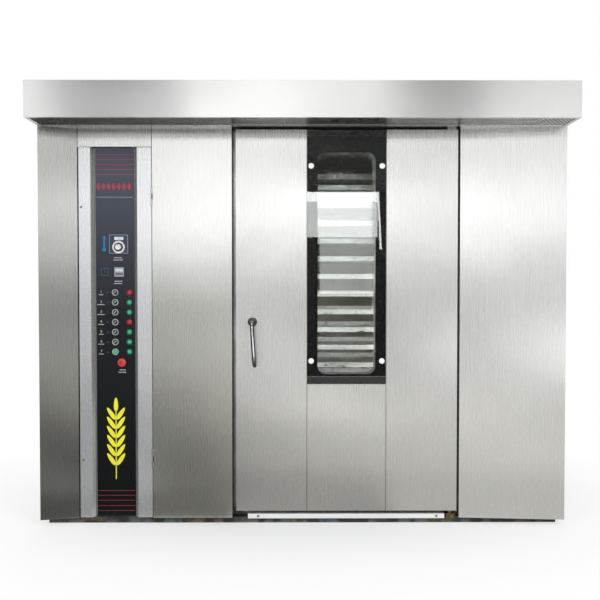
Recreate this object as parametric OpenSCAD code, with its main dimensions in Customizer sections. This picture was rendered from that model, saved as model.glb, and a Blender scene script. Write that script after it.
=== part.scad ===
// Rotating rack oven: an insulated baking chamber with a driven tray rack, a machine bay on its
// left and a steam hood along its front. X runs right, Y runs back, Z runs up. The origin is the
// centre of the footprint, on the floor.

/* [Casing] */
// Width of the casing and of the hood
body_w = 2600; // [2560:10:2800]
// Depth of the casing behind its front face
body_d = 1500; // [1480:10:1700]
// Thickness of the casing and lining sheets
sheet = 2; // [1:0.5:3]
// How far the outer edge of each end panel stands forward
splay = 40; // [0:5:48]
// Depth of the folded edge of a front panel
fold = 25; // [15:1:28]
// Gap between neighbouring front panels
seam = 3; // [2:0.5:5]
// Width of the left corner panel
corner_w = 184; // [150:1:220]
// Width of the panel between the control door and the baking door
mid_w = 397; // [380:1:440]

/* [Steam hood] */
// How far the hood reaches in front of the casing
hood_reach = 240; // [180:5:400]
// Height of the hood
hood_h = 172; // [140:1:220]
// Width of the rim under the front and the ends of the hood
hood_rim = 20; // [12:1:40]
// Width of the rim along the casing
hood_back_rim = 50; // [50:1:70]
// Diameter of a grille hole
grille_hole = 15; // [8:1:18]
// Distance between grille holes
grille_pitch = 32; // [26:1:50]

/* [Base frame] */
// Height of the base frame
base_h = 30; // [25:1:60]
// Width of a base member
base_w = 40; // [30:1:60]
// How far the base stands in from the casing
base_inset = 25; // [15:1:40]
// Widest clear gap between two joists
joist_gap = 210; // [180:5:250]
// Side of a square post
post_w = 50; // [40:1:60]
// Wall of the posts
post_wall = 3; // [2:0.5:5]

/* [Chamber] */
// Thickness of the chamber floor
floor_t = 25; // [15:1:40]
// Clear height of the chamber
chamber_h = 1875; // [1860:5:1890]
// Gap between the turning rack and the chamber walls
swing_gap = 55; // [40:1:65]
// Distance from the door surround to the turning rack
front_gap = 60; // [50:1:80]
// Height of the air space above the chamber
plenum_h = 118; // [112:1:130]
// Thickness of the wall between the machine bay and the heat exchanger
bay_wall_t = 100; // [60:1:120]
// Width of an air slot
slot_w = 250; // [150:5:280]
// Height of an air slot
slot_h = 16; // [8:1:30]

/* [Baking door] */
// Width of the baking door
door_w = 1103; // [1080:1:1120]
// Height of the baking door
door_h = 1901; // [1890:1:1910]
// Thickness of the baking door
door_t = 100; // [90:1:110]
// Gap under the door
door_floor_gap = 10; // [6:1:20]
// Gap over the door
door_top_gap = 12; // [12:1:20]
// Gap at the handle side of the door
door_left_gap = 20; // [12:1:25]
// Gap at the hinge side of the door
door_right_gap = 12; // [12:1:20]
// Width of the left door section
door_left_w = 353; // [340:1:360]
// Width of the glass
glass_w = 395; // [380:1:410]
// Thickness of the outer glass
glass_t = 6; // [4:1:7]
// Height of the door's lower centre panel
door_low_h = 636; // [600:1:660]
// Width of the clear window
window_w = 288; // [260:1:320]
// Height of the clear window
window_h = 1104; // [1000:1:1120]
// Radius of the window's corners
window_r = 40; // [20:1:60]
// Height of the window's lower edge above the lower panel
window_rise = 50; // [44:1:60]
// Thickness of the inner glass
inner_glass_t = 5; // [4:1:6]
// Thickness of the door seal
gasket_t = 15; // [10:1:20]
// Width of the door seal
gasket_w = 30; // [20:1:34]
// How far the door laps over its surround
door_lap = 50; // [46:1:60]
// Depth of the door surround
surround_t = 35; // [25:1:50]
// Diameter of the hinge pins
hinge_pin_d = 16; // [12:1:18]
// Depth of a hinge pin in the door
hinge_pin_l = 20; // [15:1:30]

/* [Handle] */
// Height of the handle's rosette above the floor
handle_z = 1012; // [950:1:1060]
// Distance of the rosette from the door's edge
handle_inset = 82; // [78:1:120]
// Diameter of the rosette
rosette_d = 46; // [40:1:56]
// Diameter of the handle rod
handle_rod = 19; // [16:1:22]
// Distance of the rod from the door
handle_reach = 85; // [60:1:110]
// Length of the straight part of the rod
handle_drop = 140; // [120:1:200]
// Lean of the hanging rod in degrees
handle_lean = 3.5; // [0:0.5:6]
// Diameter of the handle's spindle
spindle_d = 16; // [12:1:18]
// Length of the latch cam
cam_l = 72; // [60:1:80]

/* [Tray rack] */
// Width of a tray
tray_w = 800; // [760:5:820]
// Depth of a tray
tray_d = 600; // [560:5:620]
// Height of a tray
tray_h = 26; // [15:1:40]
// Sheet thickness of a tray
tray_t = 1.5; // [1:0.5:3]
// Radius of a tray's corners
tray_r = 24; // [10:1:40]
// Number of tray levels
levels = 16; // [12:1:16]
// Height between two levels
level_pitch = 98; // [80:1:98]
// Side of the rack's square tubes
rack_tube = 30; // [25:1:32]
// Width of a runner's shelf
runner_w = 26; // [20:1:32]
// Thickness of a runner
runner_t = 2; // [1.5:0.5:4]
// Gap between the floor and the wheels of the hanging rack
rack_lift = 15; // [8:1:20]
// Diameter of the castor wheels
wheel_d = 100; // [80:1:110]
// Width of the castor wheels
wheel_w = 30; // [24:1:36]
// Diameter of the castor axles
axle_d = 12; // [10:1:14]
// Offset of a swivel castor's wheel
castor_trail = 32; // [20:1:40]
// Width of the rack's hook plate
hook_plate_w = 160; // [140:1:180]
// Diameter of the drive shaft
drive_d = 40; // [30:1:50]

/* [Circulation fan] */
// Diameter of the fan impeller
fan_d = 360; // [300:5:370]
// Number of fan blades
fan_blades = 12; // [8:1:14]
// Width of the fan blades
fan_blade_h = 76; // [50:1:80]
// Thickness of a fan blade
fan_blade_t = 3; // [2:0.5:5]
// Diameter of the fan shaft
fan_shaft_d = 30; // [24:1:36]
// Pitch radius of the fan pulley
fan_pulley_r = 80; // [70:1:90]
// Pitch radius of the motor pulley
motor_pulley_r = 50; // [40:1:60]
// Distance between the pulleys
belt_run = 240; // [220:5:260]

/* [Heat] */
// Diameter of the combustion drum
drum_d = 290; // [240:5:300]
// Height of the combustion drum
drum_h = 1180; // [1000:5:1250]
// Distance of the drum's axis from the chamber's front wall
drum_setback = 250; // [240:5:260]
// Height of the burner over the lower header
burner_rise = 280; // [240:5:320]
// Diameter of a heat exchanger tube
tube_d = 48; // [38:1:52]
// Diameter of the flue pipe
flue_d = 120; // [100:5:130]
// Distance of the flue behind the drum's axis
flue_setback = 360; // [350:5:370]
// Height of the flue above the roof
flue_rise = 180; // [120:5:200]
// Diameter of the water pipe
water_pipe_d = 21.3; // [18:0.1:27]

/* [Control door] */
// Width of the control door
control_w = 367; // [360:1:380]
// Height of the plate over the control door
header_h = 97; // [80:1:110]
// Width of the strip left of the fascia
strip_left = 62; // [50:1:66]
// Width of the strip right of the fascia
strip_right = 71; // [60:1:76]
// Depth of the fascia's recess
recess = 20; // [16:1:24]
// Width of the sloping sides of the recess
recess_slope = 16; // [8:1:20]
// Thickness of the fascia plate
fascia_t = 2; // [1:0.5:3]
// Size of the temperature controller
controller_size = 96; // [90:1:100]
// Size of the timer
timer_size = 48; // [44:1:52]
// Diameter of a selector's ring
ring_d = 30; // [27:1:32]
// Diameter of a selector or button
knob_d = 22; // [20:1:23]
// Distance between the rows of selectors
row_pitch = 49.5; // [44:0.5:52]
// Height of the top row above the floor
row_top_z = 1159; // [1120:1:1180]
// Diameter of the emergency stop
stop_d = 40; // [36:1:44]
// Travel of the start button
start_travel = 4; // [3:0.5:5]
// Travel of the emergency stop
stop_travel = 6; // [4:0.5:7]

/* [Hidden] */
$fn = 48;

// Clearances: flat faces that only sit near each other, running fits, holes round free shafts
seat_gap = 0.3;
fit_gap = 0.05;
shaft_hole_gap = 15;
slab_gap = 0.5;

// Main planes
half_w = body_w / 2;
front_y = hood_reach - (body_d + hood_reach) / 2;
rear_y = front_y + body_d;
hood_y = front_y - hood_reach;
floor_z = base_h + floor_t;
door_z0 = floor_z + door_floor_gap;
door_z1 = door_z0 + door_h;
hood_z = door_z1 + door_top_gap;
roof_z = hood_z + hood_h;
ceiling_z = floor_z + chamber_h;
plenum_z = ceiling_z + sheet + plenum_h;

// Front layout from left to right
control_x0 = -half_w + corner_w;
mid_x0 = control_x0 + control_w;
mid_x1 = mid_x0 + mid_w;
door_x0 = mid_x1 + door_left_gap;
door_x1 = door_x0 + door_w;
right_x0 = door_x1 + door_right_gap;
seam_x0 = door_x0 + door_left_w;
seam_x1 = seam_x0 + glass_w;

// Door: its skin stands skin_d in front of the core
skin_d = 12;
core_y = front_y + skin_d;
door_back_y = front_y + door_t;
surround_y = door_back_y + gasket_t + seat_gap;
lining_y = surround_y + surround_t;
pivot_x = door_x1 - 30;
pivot_y = front_y + 24;
opening_x0 = door_x0 + door_lap;
opening_x1 = door_x1 - door_lap - 30;
opening_z1 = door_z1 - door_lap - 10;
low_z1 = door_z0 + door_low_h;
window_z0 = low_z1 + window_rise;
window_cx = (seam_x0 + seam_x1) / 2;
button_d = 28;
button_shank = 10;
button_dx = glass_w / 2 - 21;
button_z = [low_z1 + 116, low_z1 + 1086];

// Handle
handle_x = door_x0 + handle_inset;
handle_bend = 26;
curl_bend = 55;
curl_angle = 60;
rosette_t = 10;
cam_w = 26;
cam_t = 8;
keeper_t = 2;
cam_y = lining_y + keeper_t + 1;

// Rack and its drive
axis_x = (door_x0 + door_x1) / 2;
runner_x = tray_w / 2 + 3;
post_x = runner_x + runner_t;
rack_half_x = post_x + rack_tube;
rack_half_y = tray_d / 2 + 10;
rack_r = sqrt(pow(rack_half_x, 2) + pow(rack_half_y, 2));
axis_y = lining_y + front_gap + rack_r;
wheel_z = floor_z + rack_lift + wheel_d / 2;
castor_h = 126;
castor_plate_t = 4;
rack_z0 = floor_z + rack_lift + castor_h + castor_plate_t;
level_z0 = rack_z0 + rack_tube + 18;
rack_z1 = level_z0 + (levels - 1) * level_pitch + tray_h + 30 + rack_tube;
hook_plate_t = 8;
hook_neck_h = 30;
hook_z = rack_z1 + hook_neck_h;
castor_x = tray_w / 2 - 34;
castor_y = tray_d / 2 - 56;
castor_head_t = 8;
king_d = 14;

// Chamber and exchanger compartment
chamber_x0 = axis_x - rack_r - swing_gap;
chamber_x1 = axis_x + rack_r + swing_gap;
chamber_y1 = axis_y + rack_r + swing_gap;
frame_layer = sheet + post_w;
right_wall_x = half_w - frame_layer - 98;
exchanger_x0 = mid_x0 - 8;
exchanger_cx = (exchanger_x0 + chamber_x0) / 2;

// Fan: the impeller turns between the ceiling and the top of the air space
fan_y = chamber_y1 - fan_d / 2 - 40;
fan_z0 = ceiling_z + sheet + 14;
fan_plate_t = 4;
pulley_t = 26;
groove_h = 13;
groove_d = 11;
pulley_z = roof_z + 190;
bearing_h = 130;
motor_y = fan_y + belt_run;
motor_r = 95;
motor_h = 170;

// Burner, drum, tubes, flue and water pipe
drum_y = lining_y + drum_setback;
header_t = 60;
exchanger_z0 = floor_z + 60;
exchanger_z1 = exchanger_z0 + header_t + drum_h;
burner_z = exchanger_z0 + header_t + burner_rise;
blast_d = 110;
flue_y = drum_y + flue_setback;
flue_top = roof_z + flue_rise;
water_y = chamber_y1 - 60;
water_x = exchanger_x0 + 60;

// Control door
control_z0 = base_h + seam;
header_z0 = hood_z - header_h;
control_z1 = header_z0 - seam;
control_px = mid_x0;
knuckle_d = 8;
knuckle_l = 90;
knuckle_end = 30;
knuckle_z = [control_z0 + 250, control_z1 - 288];
leaf_t = 2;
control_py = front_y - knuckle_d / 2 - seat_gap;
fascia_x0 = control_x0 + seam / 2 + strip_left + recess_slope;
fascia_x1 = mid_x0 - seam / 2 - strip_right - recess_slope;
fascia_y = front_y + recess - fascia_t;
fascia_cx = (fascia_x0 + fascia_x1) / 2;
controller_x = fascia_cx + 20;
controller_z = row_top_z + 241;
timer_x = fascia_cx + 22;
timer_z = row_top_z + 102;
selector_x = fascia_cx + 1;
lamp_x = fascia_cx + 71;
stop_x = fascia_cx + 36;
stop_z = row_top_z - 349;
bezel_t = 8;
ring_t = 7;
row_count = 7;

module block(a, b) {
    translate(a) cube(b - a);
}

// Rectangle with rounded corners, centred
module rounded_rect(w, d, r) {
    square([w - 2 * r, d], center = true);
    square([w, d - 2 * r], center = true);
    for (sx = [-1, 1], sy = [-1, 1]) translate([sx * (w / 2 - r), sy * (d / 2 - r)]) circle(r);
}

// Sheet folded back along both upright edges, seen from above and extruded upwards
module folded_panel(x0, y0, back0, x1, y1, back1, z0, z1) {
    translate([0, 0, z0]) linear_extrude(z1 - z0)
        polygon([[x0, y0], [x1, y1], [x1, back1], [x1 - sheet, back1], [x1 - sheet, y1 + sheet],
            [x0 + sheet, y0 + sheet], [x0 + sheet, back0], [x0, back0]]);
}

// Square tube standing on z0
module post(x, y, z0, z1) {
    translate([x, y, z0]) difference() {
        cube([post_w, post_w, z1 - z0]);
        translate([post_wall, post_wall, -1])
            cube([post_w - 2 * post_wall, post_w - 2 * post_wall, z1 - z0 + 2]);
    }
}

// Cylinder that runs towards the viewer from depth y0 to the front y1
module facing_disc(x, y_back, y_front, z, d) {
    translate([x, y_back, z]) rotate([90, 0, 0]) cylinder(d = d, h = y_back - y_front);
}

// ---- Structure -------------------------------------------------------------------------

joist_x0 = -half_w + base_inset;
joist_count = ceil((body_w - 2 * base_inset - base_w) / (joist_gap + base_w));
joist_step = (body_w - 2 * base_inset - base_w) / joist_count;
base_y0 = front_y + 20;
base_y1 = rear_y - base_inset;
post_y = front_y + fold + 5;

module frame_members() {
    posts_x = [-half_w + sheet, mid_x0 - post_w / 2, mid_x1 - sheet - post_w, right_x0 + sheet,
        half_w - frame_layer];
    top = roof_z - sheet;
    color("dimgray") {
        block([joist_x0, base_y0, 0], [-joist_x0, base_y0 + base_w, base_h]);
        block([joist_x0, base_y1 - base_w, 0], [-joist_x0, base_y1, base_h]);
        for (i = [0:joist_count])
            translate([joist_x0 + i * joist_step, base_y0, 0])
                cube([base_w, base_y1 - base_y0, base_h]);
        for (x = posts_x) post(x, post_y, base_h + slab_gap, hood_z - slab_gap);
        for (x = posts_x) post(x, rear_y - frame_layer, base_h + slab_gap, top - post_w - slab_gap);
        // lintel over the front panels, and the rails under the roof
        block([-half_w + sheet, post_y, hood_z], [half_w - sheet, post_y + post_w, hood_z + post_w]);
        block([-half_w + sheet, rear_y - frame_layer, top - post_w],
            [half_w - sheet, rear_y - sheet, top]);
        for (x = [-half_w + sheet, half_w - frame_layer])
            block([x, post_y, top - post_w], [x + post_w, rear_y - frame_layer - slab_gap, top]);
    }
}

// Floor slab with a tongue that runs between the door posts to the sill
module chamber_floor() {
    color("gray") {
        block([exchanger_x0, surround_y, base_h], [right_wall_x, rear_y - frame_layer, floor_z]);
        block([mid_x1, base_y0 + base_w, base_h], [right_x0, surround_y, floor_z]);
    }
}

module chamber_lining() {
    y1 = chamber_y1;
    color("silver") {
        // right wall, rear wall, exchanger wall and the two front walls
        block([right_wall_x - sheet, lining_y, floor_z], [right_wall_x, y1, plenum_z]);
        block([exchanger_x0, y1, floor_z], [right_wall_x, y1 + sheet, plenum_z]);
        difference() {
            block([exchanger_x0, lining_y, floor_z], [exchanger_x0 + sheet, y1 - slab_gap, plenum_z]);
            translate([exchanger_x0 - 1, drum_y, burner_z]) rotate([0, 90, 0])
                cylinder(d = blast_d + 2 * seat_gap, h = sheet + 2);
        }
        block([exchanger_x0 + sheet + slab_gap, lining_y, floor_z],
            [chamber_x0 - sheet - slab_gap, lining_y + sheet, plenum_z]);
        block([chamber_x1 + sheet + slab_gap, lining_y, floor_z],
            [right_wall_x - sheet - slab_gap, lining_y + sheet, plenum_z]);
        // ceiling with the fan inlet and the holes for the drive shaft and the pipes
        difference() {
            block([exchanger_x0 + sheet + slab_gap, lining_y + sheet + slab_gap, ceiling_z],
                [chamber_x1 + sheet, y1 - slab_gap, ceiling_z + sheet]);
            translate([exchanger_cx, fan_y, ceiling_z - 1]) cylinder(d = fan_d * 0.6, h = sheet + 2);
            roof_holes(ceiling_z - 1, sheet + 2);
        }
    }
}

// Holes for the drive shaft, the flue and the water pipe, from z upwards
module roof_holes(z, h) {
    translate([axis_x, axis_y, z]) cylinder(d = drive_d + shaft_hole_gap, h = h);
    translate([exchanger_cx, flue_y, z]) cylinder(d = flue_d + 2 * seat_gap, h = h);
    translate([water_x, water_y, z]) cylinder(d = water_pipe_d + 2 * seat_gap, h = h);
}

// One slotted plate, drawn flat: three columns of slots, one row for each tray level
module duct_plate_outline(depth, height, h) {
    columns = 3;
    step = depth / columns;
    difference() {
        square([depth, height]);
        for (c = [0:columns - 1], l = [0:levels - 1])
            translate([step * (c + 0.5) - slot_w / 2, level_z0 - floor_z + l * level_pitch + tray_h + 20])
                square([slot_w, h]);
    }
}

module duct_plates() {
    depth = chamber_y1 - lining_y - 2 * slab_gap;
    color("lightgray") {
        translate([chamber_x0 - sheet, lining_y + slab_gap, floor_z]) rotate([90, 0, 90])
            linear_extrude(sheet) duct_plate_outline(depth, chamber_h - slab_gap, slot_h * 1.6);
        translate([chamber_x1, lining_y + slab_gap, floor_z]) rotate([90, 0, 90])
            linear_extrude(sheet) duct_plate_outline(depth, chamber_h - slab_gap, slot_h);
    }
}

module door_surround() {
    color("silver") {
        block([mid_x1 - sheet - post_w, surround_y, floor_z], [opening_x0, lining_y, plenum_z]);
        block([opening_x1, surround_y, floor_z], [right_x0 + sheet + post_w, lining_y, plenum_z]);
        block([opening_x0 + slab_gap, surround_y, opening_z1],
            [opening_x1 - slab_gap, lining_y, plenum_z]);
    }
}

module insulation_slabs() {
    back = rear_y - frame_layer;
    side = half_w - frame_layer;
    z1 = plenum_z;
    front0 = post_y + post_w;
    color("khaki") {
        // right, rear, bay wall, front left and front right
        block([right_wall_x + slab_gap, front0 + slab_gap, base_h], [side, back, z1 - slab_gap]);
        block([exchanger_x0, chamber_y1 + sheet + slab_gap, floor_z],
            [right_wall_x - slab_gap, back, z1 - slab_gap]);
        difference() {
            block([exchanger_x0 - bay_wall_t, front0 + slab_gap, base_h],
                [exchanger_x0 - slab_gap, back, z1 - slab_gap]);
            translate([exchanger_x0 - bay_wall_t - 1, drum_y, burner_z]) rotate([0, 90, 0])
                cylinder(d = blast_d + 2 * seat_gap, h = bay_wall_t + 2);
        }
        block([exchanger_x0 + slab_gap, front0 + slab_gap, floor_z],
            [mid_x1 - sheet - post_w - slab_gap, lining_y - slab_gap, z1 - slab_gap]);
        block([right_x0 + sheet + post_w + slab_gap, front0 + slab_gap, floor_z],
            [right_wall_x - slab_gap, lining_y - slab_gap, z1 - slab_gap]);
        // roof slab
        difference() {
            block([exchanger_x0 - bay_wall_t, front0 + slab_gap, z1],
                [side, back, roof_z - sheet]);
            roof_holes(z1 - 1, hood_h + plenum_h);
            translate([exchanger_cx, fan_y, z1 - 1])
                cylinder(d = fan_shaft_d + shaft_hole_gap, h = hood_h + plenum_h);
        }
    }
}

// ---- Casing ----------------------------------------------------------------------------

side_seam_y = front_y + fold - 5;
louvre_count = 14;
louvre_l = 300;
louvre_pitch = 32;

module side_sheet() {
    rotate([90, 0, 90]) linear_extrude(sheet)
        polygon([[side_seam_y, base_h], [side_seam_y, hood_z], [front_y, hood_z],
            [front_y, roof_z - sheet], [rear_y, roof_z - sheet], [rear_y, base_h]]);
}

module casing_panels() {
    // the rear panels meet over the middle of the posts
    joints = [-half_w + sheet, mid_x0, mid_x1 - sheet - post_w / 2, right_x0 + sheet + post_w / 2,
        half_w - sheet];
    color("silver") {
        difference() {
            translate([-half_w, 0, 0]) side_sheet();
            for (i = [0:louvre_count - 1])
                translate([-half_w - 1, front_y + body_d * 0.4, 300 + i * louvre_pitch])
                    cube([sheet + 2, louvre_l, 10]);
        }
        translate([half_w - sheet, 0, 0]) side_sheet();
        for (i = [1:len(joints) - 1])
            block([joints[i - 1] + seam / 2, rear_y - sheet, base_h],
                [joints[i] - seam / 2, rear_y, roof_z - sheet]);
    }
}

gland_x = -half_w + 220;
gland_y = rear_y - 200;

module roof_panel() {
    color("silver") difference() {
        block([-half_w, front_y, roof_z - sheet], [half_w, rear_y, roof_z]);
        roof_holes(roof_z - sheet - 1, sheet + 2);
        translate([exchanger_cx, fan_y, roof_z - sheet - 1])
            cylinder(d = fan_shaft_d + shaft_hole_gap, h = sheet + 2);
        translate([gland_x, gland_y, roof_z - sheet - 1]) cylinder(d = 32, h = sheet + 2);
    }
    // cable gland
    color("dimgray") translate([gland_x, gland_y, roof_z]) difference() {
        union() {
            cylinder(d = 50, h = 12, $fn = 6);
            cylinder(d = 40, h = 34);
        }
        translate([0, 0, -1]) cylinder(d = 26, h = 40);
    }
}

module front_corner_panel() {
    color("gray")
        folded_panel(-half_w, front_y - splay, side_seam_y, control_x0 - seam / 2, front_y,
            front_y + fold, base_h, hood_z);
}

module front_mid_panel() {
    x0 = mid_x0 + seam / 2;
    color("silver")
        folded_panel(x0, front_y, post_y, mid_x1, front_y, surround_y, base_h, hood_z);
    // fixed knuckles of the control door's hinges, above and below the door's own
    color("gray") for (z = knuckle_z, end = [0, knuckle_l - knuckle_end])
        hinge_leaf(x0 + 14, z + end, knuckle_end);
}

module front_right_panel() {
    color("silver")
        folded_panel(right_x0, front_y, surround_y, half_w, front_y - splay, side_seam_y, base_h,
            hood_z);
}

module control_header() {
    color("silver")
        folded_panel(control_x0 + seam / 2, front_y, front_y + fold, mid_x0 - seam / 2, front_y,
            post_y, header_z0, hood_z);
}

module hood_shell() {
    color("silver") difference() {
        block([-half_w, hood_y, hood_z], [half_w, front_y, roof_z]);
        block([-half_w + sheet, hood_y + sheet, hood_z + sheet],
            [half_w - sheet, front_y - sheet, roof_z - sheet]);
        block([-half_w + hood_rim, hood_y + hood_rim, hood_z - 1],
            [half_w - hood_rim, front_y - hood_back_rim, hood_z + sheet + 1]);
    }
}

module hood_grille() {
    depth = hood_reach - 2 * sheet - 2 * slab_gap;
    width = body_w - 2 * sheet - 2 * slab_gap;
    open_d = hood_reach - hood_rim - hood_back_rim;
    open_y = (hood_rim - hood_back_rim) / 2;
    rows = floor((open_d - grille_hole) / (grille_pitch * 0.87));
    columns = floor((body_w - 2 * hood_rim - 2 * grille_hole) / grille_pitch);
    color("gray") translate([0, (hood_y + front_y) / 2, hood_z + sheet]) linear_extrude(sheet)
        difference() {
            square([width, depth], center = true);
            for (r = [0:rows - 1], c = [0:columns - 1 - r % 2])
                translate([(c - (columns - 1 - r % 2) / 2) * grille_pitch,
                    open_y + (r - (rows - 1) / 2) * grille_pitch * 0.87]) circle(d = grille_hole);
        }
}

// ---- Machine bay -----------------------------------------------------------------------

module electrical_plate() {
    x0 = -half_w + frame_layer + 20;
    x1 = exchanger_x0 - bay_wall_t - 20;
    y = post_y + post_w + 60;
    color("lightgray") block([x0, y, 500], [x1, y + sheet, 1700]);
    color("whitesmoke") {
        for (z = [700, 1000, 1300]) block([x0 + 20, y - 15, z], [x1 - 20, y, z + 35]);
    }
    // contactors in the lower row, relays and breakers above
    color("darkslategray") {
        for (i = [0:4]) translate([x0 + 40 + i * 62, y - 85, z_of(0)]) cube([50, 70, 85]);
        for (i = [0:6]) translate([x0 + 35 + i * 44, y - 75, z_of(1)]) cube([36, 60, 80]);
        for (i = [0:8]) translate([x0 + 30 + i * 35, y - 65, z_of(2)]) cube([30, 50, 70]);
    }
    // stand-offs to the bay wall
    color("gray") for (z = [560, 1640])
        block([x1, y, z], [exchanger_x0 - bay_wall_t, y + 30, z + 30]);
}

function z_of(row) = 675 + 300 * row;

module heat_exchanger() {
    half = (chamber_x0 - exchanger_x0) / 2 - 40;
    y0 = drum_y - drum_d / 2 - 10;
    y1 = flue_y + flue_d / 2 + 20;
    tube_y0 = drum_y + drum_d / 2 + tube_d / 2 + 20;
    rows = floor((y1 - tube_y0 - tube_d / 2) / (tube_d + 14)) + 1;
    color("steelblue") {
        block([exchanger_cx - half, y0, exchanger_z0],
            [exchanger_cx + half, y1, exchanger_z0 + header_t]);
        block([exchanger_cx - half, y0, exchanger_z1],
            [exchanger_cx + half, y1, exchanger_z1 + header_t]);
        translate([exchanger_cx, drum_y, exchanger_z0 + header_t]) cylinder(d = drum_d, h = drum_h);
        for (r = [0:rows - 1], c = [-1:1])
            translate([exchanger_cx + c * (half - tube_d), tube_y0 + r * (tube_d + 14),
                exchanger_z0 + header_t])
                cylinder(d = tube_d, h = drum_h);
        // feet
        for (y = [y0 + 30, y1 - 60])
            block([exchanger_cx - half, y, floor_z], [exchanger_cx + half, y + 30, exchanger_z0]);
    }
}

module burner() {
    x1 = exchanger_x0 - bay_wall_t;
    color("firebrick") translate([x1, drum_y, burner_z]) rotate([0, -90, 0]) {
        cylinder(d = 190, h = 12);
        cylinder(d = 130, h = 60);
        translate([-90, -90, 40]) cube([180, 180, 150]);
        // blower scroll and its motor
        translate([-30, 170, 125]) rotate([90, 0, 0]) cylinder(d = 210, h = 90);
        translate([-30, 230, 125]) rotate([90, 0, 0]) cylinder(d = 110, h = 60);
    }
    color("gray") translate([x1, drum_y, burner_z]) rotate([0, 90, 0])
        cylinder(d = blast_d, h = exchanger_cx - drum_d / 2 - x1 - seat_gap);
}

module steam_generator() {
    x0 = exchanger_x0 + 40;
    x1 = chamber_x0 - 40;
    y0 = flue_y + flue_d / 2 + 60;
    y1 = chamber_y1 - 100;
    color("saddlebrown") {
        for (i = [0:5]) translate([0, 0, floor_z + 120 + i * 120]) difference() {
            block([x0, y0, 0], [x1, y1, 70]);
            translate([x0 - 1, (y0 + y1) / 2, 90]) rotate([0, 90, 0])
                cylinder(r = 60, h = x1 - x0 + 2);
        }
        for (x = [x0, x1 - 8], y = [y0, y1 - 30])
            block([x, y, floor_z], [x + 8, y + 30, floor_z + 120 + 5 * 120 + 20]);
    }
    // water pipe: up through the ceiling and the roof, and a drip pipe over the top trough
    color("silver") {
        translate([water_x, water_y, floor_z + 800])
            cylinder(d = water_pipe_d, h = roof_z + 90 - floor_z - 800);
        translate([water_x, water_y, roof_z]) cylinder(d = water_pipe_d + 24, h = 4);
        translate([water_x, (y0 + y1) / 2, floor_z + 800 + water_pipe_d / 2]) rotate([-90, 0, 0])
            cylinder(d = water_pipe_d, h = water_y - (y0 + y1) / 2);
    }
}

module flue_pipe() {
    color("silver") translate([exchanger_cx, flue_y, exchanger_z1 + header_t]) difference() {
        union() {
            cylinder(d = flue_d, h = flue_top - exchanger_z1 - header_t);
            translate([0, 0, roof_z - exchanger_z1 - header_t]) cylinder(d = flue_d + 60, h = 6);
        }
        translate([0, 0, -1]) cylinder(d = flue_d - 6, h = flue_top - exchanger_z1 - header_t + 2);
    }
}

// ---- Circulation fan -------------------------------------------------------------------

// Pulley with one V groove, its pitch radius r, standing on z = 0
module pulley(r, bore) {
    color("dimgray") rotate_extrude()
        polygon([[bore, 0], [r + 4, 0], [r + 4, (pulley_t - groove_h) / 2],
            [r - groove_d + 4, pulley_t / 2 - 3], [r - groove_d + 4, pulley_t / 2 + 3],
            [r + 4, (pulley_t + groove_h) / 2], [r + 4, pulley_t], [bore, pulley_t]]);
}

// Curved blade: part of a ring, cut where it meets the rim of the impeller
module blade_outline() {
    r = fan_d * 0.32;
    intersection() {
        translate([fan_d * 0.18, -fan_d * 0.24]) difference() {
            circle(r);
            circle(r - fan_blade_t);
        }
        difference() {
            circle(d = fan_d - 4);
            circle(d = fan_d * 0.6);
        }
        rotate(-53) square(fan_d);
    }
}

module fan_rotor() {
    color("silver") translate([exchanger_cx, fan_y, fan_z0]) {
        difference() {
            cylinder(d = fan_d, h = 3);
            translate([0, 0, -1]) cylinder(d = fan_d * 0.58, h = 5);
        }
        for (i = [0:fan_blades - 1]) rotate(i * 360 / fan_blades)
            translate([0, 0, 3]) linear_extrude(fan_blade_h - 3) blade_outline();
        translate([0, 0, fan_blade_h]) cylinder(d = fan_d, h = fan_plate_t);
        translate([0, 0, fan_blade_h - 30]) cylinder(d = 70, h = 36);
        translate([0, 0, fan_blade_h - 30])
            cylinder(d = fan_shaft_d, h = pulley_z + pulley_t - fan_z0 - fan_blade_h + 40);
    }
    translate([exchanger_cx, fan_y, pulley_z]) pulley(fan_pulley_r, fan_shaft_d / 2 - 2);
}

motor_shaft_d = 24;
motor_foot_h = 10;

module motor_pulley() {
    color("silver") translate([exchanger_cx, motor_y, roof_z + motor_foot_h + motor_h + seat_gap])
        cylinder(d = motor_shaft_d, h = pulley_z + pulley_t + 8 - roof_z - motor_foot_h - motor_h);
    translate([exchanger_cx, motor_y, pulley_z]) pulley(motor_pulley_r, motor_shaft_d / 2 - 2);
}

module fan_motor() {
    fins = 20;
    color("slategray") translate([exchanger_cx, motor_y, roof_z]) {
        block([-motor_r - 10, -motor_r - 10, 0], [motor_r + 10, motor_r + 10, motor_foot_h]);
        translate([0, 0, motor_foot_h]) cylinder(r = motor_r - 12, h = motor_h);
        for (i = [0:fins - 1]) rotate(i * 360 / fins)
            translate([motor_r - 16, -1.5, motor_foot_h + 12]) cube([16, 3, motor_h - 24]);
        translate([motor_r - 20, -40, 60]) cube([50, 80, 70]);
    }
    // bearing pillar of the fan shaft
    color("dimgray") translate([exchanger_cx, fan_y, roof_z]) difference() {
        union() {
            block([-80, -80, 0], [80, 80, 10]);
            cylinder(d = fan_shaft_d + 50, h = bearing_h);
        }
        translate([0, 0, -1]) cylinder(d = fan_shaft_d + 2 * fit_gap, h = bearing_h + 2);
    }
}

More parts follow.
